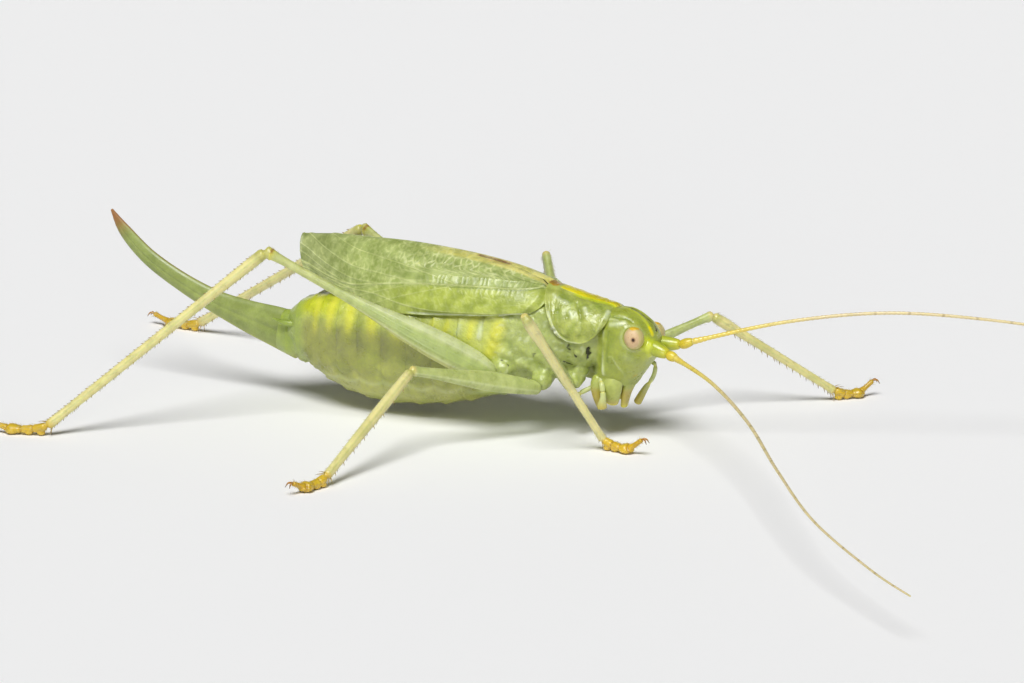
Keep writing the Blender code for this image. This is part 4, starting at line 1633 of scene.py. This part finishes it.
@dataclass(frozen=True)
class Antenna:
    """A feeler: a stout first segment, a short second one and a long ringed thread.

    Attributes:
        base: Where the first segment, the second and the thread start.
        thread: Points along the rest of the thread.
    """

    base: tuple[Point, Point, Point]
    thread: tuple[Point, ...]
    RADII: ClassVar[tuple] = (0.10, 0.078, 0.070, 0.064, 0.057, 0.05, 0.044, 0.036)
    RING: ClassVar[float] = 0.19

    def rings(self, t: Array, a: Array, s: Array) -> Array:
        """The thread's radius: narrower between rings and wider at its root."""
        return 1 + 0.07 * np.cos(TURN * s / self.RING) + 0.35 * ramp(0.9, 0.0, s)

    def paint(self, t: Array, a: Array, s: Array) -> Masks:
        """The thread's masks, with dark bands far apart and faint ones between the rings.

        Args:
            t: The share along it; not used.
            a: The angle round it; not used.
            s: The distance along it.

        Returns:
            The masks.
        """
        dark = bell((s / 1.35) % 1, 0.5, 0.07)
        faint = 0.35 * bell((s / self.RING) % 1, 0.5, 0.2)
        return {
            "tan": ramp(0.5, 7.0, s),
            "black": 0.7 * np.maximum(dark, faint) * ramp(2.0, 9.0, s),
        }

    def patch(self) -> Patch:
        """The first two segments and the thread."""
        first, second, tip = (np.array(p, float) for p in self.base)
        path = [first - (second - first) * 0.2, (first + second) / 2, second]
        scape = Limb(path, (0.33, 0.29, 0.17), (0.33, 0.28, 0.17), rows=50, columns=40)
        radii = (0.15, 0.205, 0.13)
        path = [second - (tip - second) * 0.25, second + (tip - second) * 0.40,
                tip + (tip - second) * 0.15]
        pedicel = Limb(path, radii, radii, rows=30, columns=28)
        path = [tip - (tip - second) * 0.1, *self.thread]
        thread = Limb(path, self.RADII, self.RADII, (0.1, 0.2, 1), 700, 10, shape=self.rings)
        return merged([
            scape.patch(lambda t, a, s: {"lime": 0.95, "yellow": 0.8 * ramp(0.35, 0.95, t)}),
            pedicel.patch(lambda t, a, s: {"rust": 0.8}),
            thread.patch(self.paint),
        ])


ANTENNAE = {
    Side.RIGHT: Antenna(
        ((4.52, -0.36, 3.92), (5.26, -0.47, 3.70), (5.60, -0.56, 3.62)),
        ((8.15, -3.00, 3.45), (11.10, -6.65, 3.10), (14.15, -11.35, 2.75),
         (17.30, -15.80, 2.38), (20.90, -19.55, 2.02), (23.10, -21.45, 1.85))),
    Side.LEFT: Antenna(
        ((4.52, 0.34, 3.92), (5.45, 0.40, 3.94), (5.88, 0.46, 4.10)),
        ((9.40, 1.58, 5.00), (13.10, 3.00, 5.42), (16.80, 4.45, 5.20), (20.60, 6.00, 4.60),
         (24.40, 7.65, 3.75), (28.00, 9.30, 2.80))),
}


# ---- wings


class Tegmen:
    """A forewing, from the ridge of the wing roof down to its lower edge."""

    TIP_X, GAP, SHEET = -11.05, 0.06, 0.07
    RIDGE = (6.08, 6.56, 6.85, 7.02, 7.12, 7.13, 7.12, 7.00)
    EDGE = (5.00, 4.82, 4.72, 4.62, 4.60, 4.76, 5.02, 5.32)
    REACH = (1.62, 1.80, 1.88, 1.86, 1.72, 1.42, 1.02, 0.66)
    MAIN_VEIN = (6.02, 5.93, 5.93, 5.90, 5.84, 5.74, 5.58, 5.42, 5.60, 6.00)
    LOWER_VEIN = (5.10, 4.98, 4.92, 4.86, 4.86, 4.98, 5.20, 5.25, 5.50, 5.95)
    BRANCHES = ((-3.4, 0.30), (-5.2, 0.24), (-6.9, 0.18), (-8.4, 0.16))
    ROW, CELL, LOW_CELL, BAR, FLECK = 0.40, 0.28, 0.34, 0.25, 0.21

    def __init__(self, side: Side, rows: int = 360) -> None:
        """Lays out the wing's grid.

        Args:
            side: The side it is on.
            rows: How many rows of points run along it.
        """
        u = np.linspace(0, 1, rows)[:, None]
        v = np.linspace(0, 1, rows // 3)[None, :]
        base = -0.08 + 1.6 * v * (1 - v) - 0.45 * v**3
        x = base + (self.TIP_X + 0.60 * v**3 - base) * u
        ridge, edge, reach = (curve(k, u) for k in (self.RIDGE, self.EDGE, self.REACH))
        angle = v * math.pi / 2
        y = reach * np.sin(angle) ** 1.15
        z = edge + (ridge - edge) * np.cos(angle) ** 1.15
        self.u, self.v = u + 0 * v, v + 0 * u
        self.points = np.stack([x, side.value * (self.GAP / 2 + y), z], axis=-1)
        self.inside = np.array([-5.0, 0.0, 4.8])
        steps = np.diff(self.points, axis=1, prepend=self.points[:, :1])
        self.down = np.cumsum(np.linalg.norm(steps, axis=2), axis=1)
        self.above = self.vein_height(self.MAIN_VEIN)

    def vein_height(self, route: Sequence[float]) -> Array:
        """How far above a vein each point is, from the vein's height along the wing.

        Args:
            route: The vein's heights above the floor, from the wing's root to its tip.

        Returns:
            The distances over the wing.
        """
        level = curve(route, self.u[:, 0])
        rows = zip(level, self.points[..., 2], self.down)
        place = [np.interp(-z, -column, down) for z, column, down in rows]
        return np.array(place)[:, None] - self.down

    def plan(self) -> Array:
        """Each point's place in the net of small veins, in cells."""
        x, above = self.points[..., 0], self.above
        upper = ramp(-0.02, 0.02, above)
        close = ramp(0.75, 0.40, above) * ramp(-6.5, -4.0, x)
        long = self.CELL + (0.20 - self.CELL) * close * upper
        along = x / long + (1 - upper) * above * 1.6
        across = 0.5 + above / np.where(above > 0, self.ROW, self.LOW_CELL)
        return np.stack([along, across, 0 * x], axis=-1)

    def ribs(self) -> Array:
        """How much each point stands on a long vein."""
        x, above = self.points[..., 0], self.above
        found = [
            bell(above, 0.0, 0.035),
            0.45 * bell(above, self.ROW, 0.022) * ramp(-6.5, -4.5, x),
            0.8 * bell(self.vein_height(self.LOWER_VEIN), 0.0, 0.03),
        ]
        for start, fan in self.BRANCHES:
            branch = fan * (start - x)
            there = ramp(start, start - 0.1, x)
            found.append(0.7 * there * bell(above, branch, 0.028))
            found.append(0.6 * there * bell(above, -0.7 * branch, 0.026))
        return np.maximum.reduce(found)

    def glints(self, row: Array) -> Array:
        """The white cross veins above the main vein and the white grit below it.

        Args:
            row: How much each point is in the row of cells above the main vein.

        Returns:
            How white each point is.
        """
        x, above = self.points[..., 0], self.above
        swell = ripple(self.points, 0.45)
        bars = row * bell((x / self.BAR + 0.3 * above + 0.5 * swell) % 1, 0.5, 0.17)
        bars = bars * (0.45 + 0.4 * ramp(-0.6, 0.5, ripple(self.points, 0.6)))
        fleck = bell((x / self.FLECK + 0.3 * swell) % 1, 0.5, 0.22) * ramp(-0.03, -0.09, above)
        fleck = fleck * ramp(-0.42, -0.30, above) * ramp(-3.6, -2.4, x) * ramp(-0.1, -0.8, x) * 0.5
        grit = ramp(0.2, 0.9, ripple(self.points * [1, 0.45, 0.45], 0.12))
        grit = 0.28 * grit * ramp(0.0, -0.1, above) * ramp(-8, -5, x)
        return np.maximum.reduce([bars, fleck, grit])

    def patch(self) -> Patch:
        """The wing with its veins."""
        x, above, u, v = self.points[..., 0], self.above, self.u, self.v
        row = ramp(0.0, 0.05, above) * ramp(self.ROW + 0.04, self.ROW - 0.04, above)
        row = row * ramp(-6.0, -4.4, x)
        clear = (0.25 + 0.75 * ramp(-8.0, -3.5, x)) * (0.4 + 0.6 * ramp(-0.02, 0.02, above))
        crease = bell(above, 0.10 - 0.42 * x, 0.035) * ramp(-1.7, -1.2, x) * 0.9
        masks = {
            "cells": self.plan(),
            "rib": self.ribs(),
            "white": self.glints(row),
            "clear": clear * (1 - 0.95 * row),
            "lower": ramp(0.15, -0.3, above) * ramp(-9.5, -4.0, x),
            "anal": ramp(0.25, 0.15, v) * ramp(-6.5, -3.0, x),
            "flush": bell(v, 0.10, 0.03) * bell(x, -2.3, 0.6) * 0.6,
            "rust": ramp(0.07, 0.035, v) * ramp(-3.5, -3.0, x) * ramp(-1.6, -2.0, x),
            "crease": crease,
            "pale": bell(v, 0.975, 0.022) * ramp(-6.2, -4.8, x),
            "tip": ramp(-7.0, -10.5, x) * 0.6,
        }
        deepen(masks, "crease", bell(above, -0.085, 0.035) * ramp(-5.5, -3.5, x) * 0.7)
        rim = np.maximum(bell(v, 1, 0.012), bell(u, 1, 0.004))
        tuck = np.maximum(ramp(0.90, 1.0, v) * ramp(-6.0, -3.5, x), ramp(0.035, 0.0, u))
        height = 0.035 * masks["rib"] + 0.02 * rim + 0.025 * masks["white"] - 0.16 * tuck
        normals = outward(self.points, False, self.inside)
        return thick(self.points + normals * height[..., None], self.SHEET, self.inside, masks)


# ---- tail and sabre


class Ovipositor:
    """The upcurved egg-laying sabre: a pair of valves, toothed near the tip."""

    LINE = ((-10.95, 2.50), (-12.10, 2.86), (-13.50, 3.20), (-15.00, 3.66), (-16.60, 4.36),
            (-18.13, 5.25), (-19.25, 6.28), (-19.88, 7.16))
    HEIGHT = (0.95, 0.88, 0.70, 0.51, 0.41, 0.36, 0.28, 0.05)
    WIDTH = (0.50, 0.42, 0.30, 0.24, 0.21, 0.19, 0.15, 0.05)
    TOOTH = 0.26

    def shape(self, t: Array, a: Array, s: Array) -> Array:
        """Its section: seams along both sides, a keel above and teeth below. Angle 90 is up.

        Args:
            t: The share along it.
            a: The angle round it.
            s: The distance along it.

        Returns:
            A factor for the radius.
        """
        under = bell(angle_off(a, 270), 0, 16)
        teeth = 0.10 * np.clip(np.sin(TURN * s / self.TOOTH), 0, 1) * ramp(0.86, 0.92, t)
        seam = bands(a, (0, 180), 7) * ramp(0.04, 0.2, t)
        return 1 - 0.16 * seam + teeth * under + 0.02 * bell(angle_off(a, 90), 0, 14)

    def paint(self, t: Array, a: Array, s: Array) -> Masks:
        """Its masks: yellow below, rust along its edges and brown at its tip.

        Args:
            t: The share along it.
            a: The angle round it.
            s: The distance along it; not used.

        Returns:
            The masks.
        """
        below = angle_off(a, 270)
        rim = np.maximum(bell(below, 0, 16), 0.8 * bell(angle_off(a, 90), 0, 16))
        return {
            "yellow": 0.5 * ramp(60, 15, below) * ramp(0.9, 0.5, t),
            "rust": np.clip(ramp(0.78, 0.98, t) + 0.7 * rim * ramp(0.2, 0.7, t), 0, 1),
            "black": 0.6 * bell(below, 0, 10) * ramp(0.88, 0.96, t),
        }

    def patch(self) -> Patch:
        """The sabre."""
        path = [(x, 0, z) for x, z in self.LINE]
        limb = Limb(path, self.WIDTH, self.HEIGHT, UP, 260, 72, (0.5, 0.5), self.shape)
        return limb.patch(self.paint)


def cercus(side: Side) -> Patch:
    """The short hairy feeler beside the sabre.

    Args:
        side: The side it is on.

    Returns:
        The feeler.
    """
    route = ((-10.90, 0.60, 3.30), (-11.55, 0.76, 3.34), (-12.15, 0.70, 3.46))
    path = [mirrored(p, side) for p in route]
    radii = (0.17, 0.15, 0.10, 0.04)
    return Limb(path, radii, radii, UP, 50, 28).patch(lambda t, a, s: {"tail": 1.0, "olive": 0.5})


# ---- legs


@dataclass(frozen=True)
class Build:
    """The sizes that both legs of a pair share.

    Attributes:
        hip: Where the left femur starts.
        root: Where the left coxa starts, inside the body.
        coxa: The coxa's half thickness.
        femur: The femur's length.
        tibia: The tibia's length.
        foot: The foot's length.
        bow: How far the femur's middle bows away from the tibia.
        depth: The femur's half depth from hip to knee.
        width: The femur's half width.
        shin: The tibia's half thickness from knee to ankle.
        lift: How high the foot's end is raised.
        spines: How far apart the tibia's spines are, on its upper and its lower side.
    """

    hip: Point
    root: Point
    coxa: float
    femur: float
    tibia: float
    foot: float
    bow: float
    depth: tuple[float, ...]
    width: tuple[float, ...]
    shin: tuple[float, ...]
    lift: float
    spines: tuple[float, float]


BUILDS = {
    Pair.FORE: Build(
        (1.25, 1.05, 2.12), (1.55, 0.45, 3.00), 0.40, 5.60, 6.60, 1.75, 0.08,
        (0.24, 0.30, 0.28, 0.22, 0.17, 0.20), (0.22, 0.25, 0.23, 0.19, 0.16, 0.18),
        (0.19, 0.23, 0.19, 0.175, 0.17, 0.165, 0.16, 0.16, 0.18), 0.42, (0.0, 0.62)),
    Pair.MIDDLE: Build(
        (0.05, 1.50, 2.03), (0.20, 0.70, 2.80), 0.42, 5.75, 6.45, 1.75, 0.0,
        (0.26, 0.36, 0.42, 0.33, 0.22, 0.20), (0.24, 0.27, 0.26, 0.22, 0.18, 0.18),
        (0.19, 0.20, 0.215, 0.22, 0.21, 0.20, 0.19, 0.18, 0.19), 0.24, (0.0, 0.66)),
    Pair.HIND: Build(
        (-1.70, 1.95, 2.50), (-1.25, 0.95, 2.75), 0.50, 10.30, 11.25, 2.45, -0.06,
        (0.30, 0.55, 0.61, 0.52, 0.34, 0.22, 0.18, 0.18, 0.25),
        (0.26, 0.34, 0.37, 0.32, 0.24, 0.19, 0.17, 0.16, 0.19),
        (0.24, 0.23, 0.21, 0.20, 0.195, 0.19, 0.185, 0.18, 0.20), 0.24, (0.36, 0.62)),
}


class Leg:
    """A leg in its pose, with one skin from hip to toes."""

    ANKLE_HEIGHT, FOOT_HEIGHT, CELL, SMOOTHING = 0.40, 0.24, 0.030, 3
    FOOT_WIDTH = (0.17, 0.18, 0.20, 0.20, 0.22, 0.30, 0.14, 0.10, 0.12)
    FOOT_DEPTH = (0.17, 0.17, 0.17, 0.16, 0.16, 0.20, 0.12, 0.10, 0.11)
    PADS = ((0.14, 0.17), (0.34, 0.20), (0.62, 0.32))
    UPPER, LOWER = (62, 118), (242, 298)
    SPINE, HIND_SPINE, SPUR, SPINE_RADIUS, HAIR_RADIUS = 0.2, 0.12, 0.34, 0.026, 0.0065
    HAIRS_PER_MM = (20, 70, 90)

    def __init__(
        self, pair: Pair, side: Side, femur_turn: float, femur_slope: float, tibia_turn: float,
        foot_turn: float,
    ) -> None:
        """Works out the leg's joints.

        Args:
            pair: Which pair it is of.
            side: Which side it is on.
            femur_turn: The femur's compass angle from +X towards +Y, in degrees.
            femur_slope: The femur's slope.
            tibia_turn: The tibia's compass angle.
            foot_turn: The foot's compass angle.
        """
        self.pair, self.side = pair, side
        self.build = build = BUILDS[pair]
        self.hip = mirrored(build.hip, side)
        self.along = heading(femur_turn, femur_slope)
        self.knee = self.hip + self.along * build.femur
        slope = math.degrees(math.asin((self.ANKLE_HEIGHT - self.knee[2]) / build.tibia))
        self.down = heading(tibia_turn, slope)
        self.ankle = self.knee + self.down * build.tibia
        self.fold = unit(self.down - self.along * (self.down @ self.along))
        self.toe = heading(foot_turn)
        self.femur, self.tibia, self.foot = self.limbs()

    @property
    def name(self) -> str:
        """The leg's name, as in the frame's nodes."""
        return f"{self.pair.value}_{self.side.word}"

    def coxa(self) -> Patch:
        """The leg's root, which is part of the body's skin."""
        root = mirrored(self.build.root, self.side)
        path = [root, root + (self.hip - root) * 0.55, self.hip + self.along * 0.02]
        wide = self.build.coxa
        radii = (wide, wide * 1.02, wide * 0.80)
        return Limb(path, radii, radii, (1, 0, 0), 40, 36).patch()

    def limbs(self) -> tuple[Limb, Limb, Limb]:
        """The middle lines and thicknesses of the leg's parts.

        Returns:
            The femur, the tibia and the foot.
        """
        build = self.build
        middle = (self.hip + self.knee) / 2 - self.fold * build.bow
        path = [self.hip - self.along * 0.12, middle, self.knee + self.along * 0.12]
        femur = Limb(path, build.width, build.depth, self.fold, 160, 48)
        start = self.knee + self.along * 0.06 + self.fold * 0.04
        path = [start, (start + self.ankle) / 2, self.ankle]
        tibia = Limb(path, build.shin, build.shin, self.along, 160, 36)
        floor = np.array([*self.ankle[:2], self.FOOT_HEIGHT])
        long = build.foot
        path = [self.ankle, floor + self.toe * 0.30 * long, floor + self.toe * 0.65 * long,
                floor + self.toe * long + np.array([0, 0, build.lift])]
        foot = Limb(path, self.FOOT_WIDTH, self.FOOT_DEPTH, UP, 120, 32)
        return femur, tibia, foot

    def skin(self) -> Patch:
        """The leg's skin with its ridges and its colours."""
        size = 1.0 if self.pair is Pair.HIND else 0.8
        path = [self.knee - self.along * 0.30 - self.fold * 0.02, self.knee + self.fold * 0.08]
        wide, high = ([w * size for w in radii] for radii in ((0.22, 0.20), (0.26, 0.24)))
        knee = Limb(path, wide, high, self.fold, 24, 24)
        forms = [limb.patch() for limb in (self.femur, self.tibia, self.foot, knee)]
        for share, size in self.PADS:
            middle = curve(self.foot.path, share) * [1, 1, 0] + [0, 0, 0.07 + 0.3 * size]
            forms.append(grid(globe(middle, (size, size, 0.06 + 0.3 * size), 16, 24)))
        skin = Skin(forms, self.CELL, self.SMOOTHING)
        found = [limb.locate(skin.points) for limb in (self.femur, self.tibia, self.foot)]
        nearest = np.argmin([where[3] for where in found], axis=0)
        masks: Masks = {}
        height = np.zeros(len(skin.points))
        for i, paint in enumerate((self.paint_femur, self.paint_tibia, self.paint_foot)):
            here = nearest == i
            t, a, s = (values[here] for values in found[i][:3])
            height[here], made = paint(t, a, s)
            for name, values in made.items():
                masks.setdefault(name, np.zeros(len(skin.points)))[here] = values
        skin.lift(height)
        return skin.patch(masks)

    def paint_femur(self, t: Array, a: Array, s: Array) -> tuple[Array, Masks]:
        """Relief and masks of the femur. Its angle 90 is the side that the tibia folds to.

        Args:
            t: The share along it.
            a: The angle round it.
            s: The distance along it.

        Returns:
            The heights and the masks.
        """
        near_knee = ramp(0.90, 0.98, t)
        if self.pair is not Pair.HIND:
            ridge = bands(a, (50, 130), 12)
            return 0.012 * ridge, {
                "pale": 0.5 * ridge,
                "straw": near_knee * 0.8,
                "amber": near_knee * 0.35,
                "rust": 0.3 * bell(t, 0.965, 0.02),
            }
        ridges = bands(a, (-40, 0, 40, 140, 180, 220), 5)
        keels = bands(a, self.UPPER, 7)
        back = ramp(80, 40, angle_off(a, 270))
        bulge = ramp(0.72, 0.5, t) * ramp(0.0, 0.08, t)
        return 0.014 * ridges * bulge + 0.02 * keels, {
            "pale": np.clip(0.62 * back * bulge + 0.7 * keels + 0.15 * ridges * bulge, 0, 1),
            "green": 0.75 * bulge * (1 - back) * ramp(60, 35, np.abs(angle_off(a, 90) - 90)),
            "yellow": np.clip(near_knee + 0.4 * ramp(40, 15, angle_off(a, 90)), 0, 1),
            "straw": 0.3 * ramp(0.6, 0.85, t) * (1 - near_knee),
            "rust": 0.8 * bell(t, 0.955, 0.012) * ramp(120, 60, angle_off(a, 270)),
            "black": np.maximum.reduce([
                bell(t, 0.985, 0.008) * bell(angle_off(a, 90), 0, 50),
                bell(t, 0.965, 0.006) * bell(angle_off(a, 0), 0, 20),
                0.7 * bell((s / 0.47) % 1, 0.5, 0.07) * bell(angle_off(a, 112), 0, 9)
                * ramp(0.36, 0.42, t) * ramp(0.78, 0.70, t),
            ]),
        }

    def paint_tibia(self, t: Array, a: Array, s: Array) -> tuple[Array, Masks]:
        """Relief and masks of the tibia. Its angle 90 is the side away from the femur.

        Args:
            t: The share along it.
            a: The angle round it.
            s: The distance along it.

        Returns:
            The heights and the masks.
        """
        keel = bands(a, (*self.UPPER, *self.LOWER), 10)
        masks = {
            "straw": ramp(0.02, 0.1, t) * 0.95 * (1 - 0.45 * bands(a, (0, 180), 16)),
            "amber": np.maximum(ramp(0.93, 1.0, t) * 0.8, ramp(0.12, 0.02, t) * 0.35),
            "rust": 0.25 * bell(s, 0.32, 0.08),
            "pale": 0.4 * keel,
        }
        height = 0.010 * keel
        if self.pair is Pair.FORE:
            ear = bell(s, 0.75, 0.2) * bands(a, (0, 180), 22)
            rim = np.clip(4 * ear * (1 - ear), 0, 1)
            height += 0.03 * rim - 0.04 * ear
            masks["black"] = 0.5 * np.clip(ear - 0.5, 0, 1)
        return height, masks

    def paint_foot(self, t: Array, a: Array, s: Array) -> tuple[Array, Masks]:
        """Relief and masks of the foot, which has four segments.

        Args:
            t: The share along it.
            a: The angle round it; not used.
            s: The distance along it; not used.

        Returns:
            The heights and the masks.
        """
        seams = sum(bell(t, place, 0.015) for place in (0.27, 0.47, 0.70))
        return -0.035 * seams, {
            "amber": 0.95,
            "ochre": np.clip(0.6 * seams + 0.7 * ramp(0.5, 0.9, t), 0, 1),
            "rust": 0.4 * seams,
        }

    def spines(self) -> Patch:
        """Rows of spines on the tibia, and the spurs at its end."""
        long = self.tibia.length
        size = self.HIND_SPINE if self.pair is Pair.HIND else self.SPINE
        found = []
        for gap, angles, start in zip(self.build.spines, (self.UPPER, self.LOWER), (0.9, 1.2)):
            for k, angle in enumerate(angles if gap else ()):
                places = np.arange(start + 0.4 * gap * k, long - 0.25, gap)
                found += [(place / long, angle, size) for place in places]
        found += [(0.985, angle, self.SPUR) for angle in (*self.UPPER, *self.LOWER)]
        t, a, sizes = np.array(found).T
        roots, outs, ahead = self.tibia.at(t, a)
        ways = unit(outs * 0.75 + ahead * 0.65)
        places = np.stack([t, a / 360], axis=-1)
        return spikes(roots, ways, sizes, self.SPINE_RADIUS, places, 0.15)

    def hairs(self, rng: np.random.Generator) -> Patch:
        """Short fine hairs all over the leg.

        Args:
            rng: Where their places come from.

        Returns:
            The hairs.
        """
        made = []
        limbs = (self.femur, self.tibia, self.foot)
        for k, (limb, count) in enumerate(zip(limbs, self.HAIRS_PER_MM)):
            number = int(count * limb.length)
            t, a = rng.uniform(0.03, 0.99, number), rng.uniform(0, 360, number)
            roots, outs, ahead = limb.at(t, a)
            lengths = rng.uniform(0.07, 0.15, number)
            ways = unit(outs * 0.7 + ahead * 0.75 + rng.normal(0, 0.12, (number, 3)))
            places = np.stack([(t + k) / 3, a / 360], axis=-1)
            made.append(spikes(roots, ways, lengths, self.HAIR_RADIUS, places))
        return merged(made)

    def claws(self) -> Patch:
        """The two hooked claws."""
        end = self.foot.centres[-1]
        across = np.cross(UP, self.toe)
        radii = (0.045, 0.035, 0.008)
        made = []
        for way in (-1, 1):
            hook = end + self.toe * 0.14 + across * way * 0.07 + [0, 0, 0.03]
            point = end + self.toe * 0.26 + across * way * 0.13 - [0, 0, 0.14]
            limb = Limb([end - self.toe * 0.04, hook, point], radii, radii, UP, 20, 12)
            made.append(limb.patch(lambda t, a, s: {"tip": ramp(0.3, 1, t)}))
        return merged(made)


LEGS = (
    (Pair.FORE, Side.RIGHT, 268.0, 42.5, 55.0, -6.0),
    (Pair.FORE, Side.LEFT, 45.5, 20.2, 44.0, 47.0),
    (Pair.MIDDLE, Side.RIGHT, 231.0, 14.0, 259.0, 248.0),
    (Pair.MIDDLE, Side.LEFT, 125.5, 41.5, 100.0, 118.0),
    (Pair.HIND, Side.RIGHT, 195.0, 27.2, 214.0, 191.0),
    (Pair.HIND, Side.LEFT, 160.5, 20.5, 162.5, 171.0),
)


# ---- studio


@dataclass(frozen=True)
class Lamp:
    """A distant light that looks broad from the animal.

    Attributes:
        name: Its name.
        way: The direction in which it stands.
        breadth: How broad it looks, in degrees.
        strength: The light it casts on a surface that faces it.
    """

    name: str
    way: Point
    breadth: float
    strength: float


class Studio:
    """White paper, a broad soft light high in front and a camera with a long lens."""

    AZIMUTH, ELEVATION, DISTANCE = 24.0, 14.5, 220.0
    AIM_RIGHT, AIM_UP, AIM_HEIGHT = -1.6, -2.14, 5.8
    LENS, SENSOR, NEAREST, FARTHEST = 193.36, 36.0, 0.01, 5.0
    PAPER_REACH, SWEEP_START, LAMP_DISTANCE = 900, 600, 150
    ROOM, ROOM_STRENGTH = "#f3f3f6", 0.048
    LAMPS = (
        Lamp("softbox", (0.12, -0.60, 1.0), 28.0, 3.00),
        Lamp("card", (0.20, -1.0, 0.12), 16.0, 0.72),
    )

    def __init__(self, rig: Rig) -> None:
        """Works out the camera's directions.

        Args:
            rig: What holds the animal in the frame.
        """
        self.rig = rig
        turn, rise = math.radians(self.AZIMUTH), math.radians(self.ELEVATION)
        self.back = np.array([math.sin(turn) * math.cos(rise), -math.cos(turn) * math.cos(rise),
                              math.sin(rise)])
        self.right = np.array([math.cos(turn), math.sin(turn), 0.0])
        self.up = np.cross(self.back, self.right)

    def floor(self) -> None:
        """Paper that lies flat and sweeps up far behind."""
        reach = self.PAPER_REACH
        steps = np.linspace(-1, 1, 60) * reach
        x, y = np.meshgrid(steps, steps, indexing="ij")
        far = np.clip(np.hypot(x, y) - self.SWEEP_START, 0, None)
        patch = grid(np.stack([x, y, far**2 / reach], axis=-1), closed=False)
        mesh = mesh_of("paper", patch, MM, self.rig.offset)
        mesh.materials.append(PAPER.build())
        paper = placed("paper", mesh)

    def camera(self) -> None:
        """The camera, aimed a little off the animal's shoulders."""
        data = bpy.data.cameras.new("camera")
        data.sensor_width = self.SENSOR
        data.lens = self.LENS
        data.clip_start, data.clip_end = self.NEAREST, self.FARTHEST
        camera = placed("camera", data)
        place = (np.array([0, 0, self.AIM_HEIGHT]) + self.back * self.DISTANCE
                 + self.right * self.AIM_RIGHT + self.up * self.AIM_UP)
        turn = Matrix([self.right, self.up, self.back]).transposed().to_4x4()
        camera.matrix_world = Matrix.Translation(self.rig.place(place)) @ turn
        bpy.context.scene.camera = camera

    def lights(self) -> None:
        """An even pale room, a large softbox high in front and a reflecting card low in front."""
        world = bpy.data.worlds.new("room")
        world.use_nodes = True
        sky = world.node_tree.nodes["Background"]
        sky.inputs["Color"].default_value = linear(self.ROOM)
        sky.inputs["Strength"].default_value = self.ROOM_STRENGTH
        bpy.context.scene.world = world
        for light in self.LAMPS:
            data = bpy.data.lights.new(light.name, "SUN")
            data.angle = math.radians(light.breadth)
            data.energy = light.strength
            lamp = placed(light.name, data)
            lamp.location = self.rig.place(unit(np.array(light.way)) * self.LAMP_DISTANCE)
            lamp.rotation_euler = Vector(light.way).to_track_quat("Z", "Y").to_euler()
        bpy.context.scene.view_settings.view_transform = "Standard"


def build_trunk(rig: Rig, legs: Sequence[Leg]) -> None:
    """Adds the body's skin, the pronotum, the mouth's middle plates, the palps and the sabre.

    Args:
        rig: What holds the pieces.
        legs: The legs, whose roots are part of the skin.
    """
    body = Body(legs)
    nodes = ["head", "thorax", "abdomen", *(f"{leg.name}_coxa" for leg in legs)]
    rig.add("body_skin", body.skin.patch(body.masks), BODY_CUTICLE, "body_cuticle", nodes)
    rig.add("pronotum_plate", Pronotum().patch(), BODY_CUTICLE, "body_cuticle", ["pronotum"])
    rig.add("labrum_plate", LABRUM.patch(Side.LEFT), MOUTH_CUTICLE, "body_cuticle", ["labrum"])
    patch = merged([LABIUM.patch(Side.LEFT), *(MAXILLA.patch(side) for side in Side)])
    rig.add("labium_plate", patch, MOUTH_CUTICLE, "body_cuticle", ["labium"])
    for name, palp in PALPS.items():
        rig.add(f"{name}_skin", palp.patch(), MOUTH_CUTICLE, "body_cuticle", [name])
    rig.add("sabre", Ovipositor().patch(), SABRE_CUTICLE, "sabre_cuticle", ["ovipositor"])


def build_pairs(rig: Rig, side: Side) -> None:
    """Adds one side's eye, mandible, feeler, wing and cercus.

    Args:
        rig: What holds the pieces.
        side: The side.
    """
    pieces = (
        ("eye", "lens", Eye().patch(side), EYE_LENS, "eye_lens"),
        ("mandible", "plate", MANDIBLE.patch(side), MOUTH_CUTICLE, "body_cuticle"),
        ("tegmen", "wing", Tegmen(side).patch(), FOREWING, "wing_membrane"),
        ("cercus", "skin", cercus(side), BODY_CUTICLE, "body_cuticle"),
    )
    for part, kind, patch, finish, slot in pieces:
        name = f"{part}_{side.word}"
        rig.add(f"{name}_{kind}", patch, finish, slot, [name])
    name = f"antenna_{side.word}"
    nodes = [f"{name}_{part}" for part in ("base", "1", "2", "3")]
    rig.add(f"{name}_feeler", ANTENNAE[side].patch(), FEELER_CUTICLE, "feeler_cuticle", nodes)


def build_leg(rig: Rig, leg: Leg, rng: np.random.Generator) -> None:
    """Adds a leg's skin, claws, spines and hairs.

    Args:
        rig: What holds the pieces.
        leg: The leg.
        rng: Where its hairs' places come from.
    """
    nodes = [f"{leg.name}_{part}" for part in ("femur", "tibia", "tarsus")]
    rig.add(f"{leg.name}_leg", leg.skin(), LEG_CUTICLE, "leg_cuticle", nodes)
    rig.add(f"{leg.name}_claws", leg.claws(), FOOT_CUTICLE, "foot_cuticle")
    rig.add(f"{leg.name}_spines", leg.spines(), SPINE)
    rig.add(f"{leg.name}_hairs", leg.hairs(rng), BRISTLE)


def main() -> None:
    """Builds the animal and the studio round it."""
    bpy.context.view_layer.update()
    rig = Rig()
    legs = [Leg(*stance) for stance in LEGS]
    build_trunk(rig, legs)
    for side in Side:
        build_pairs(rig, side)
    rng = np.random.default_rng(SEED)
    for leg in legs:
        build_leg(rig, leg, rng)
    studio = Studio(rig)
    studio.floor()
    studio.camera()
    studio.lights()


if __name__ == "__main__":
    main()
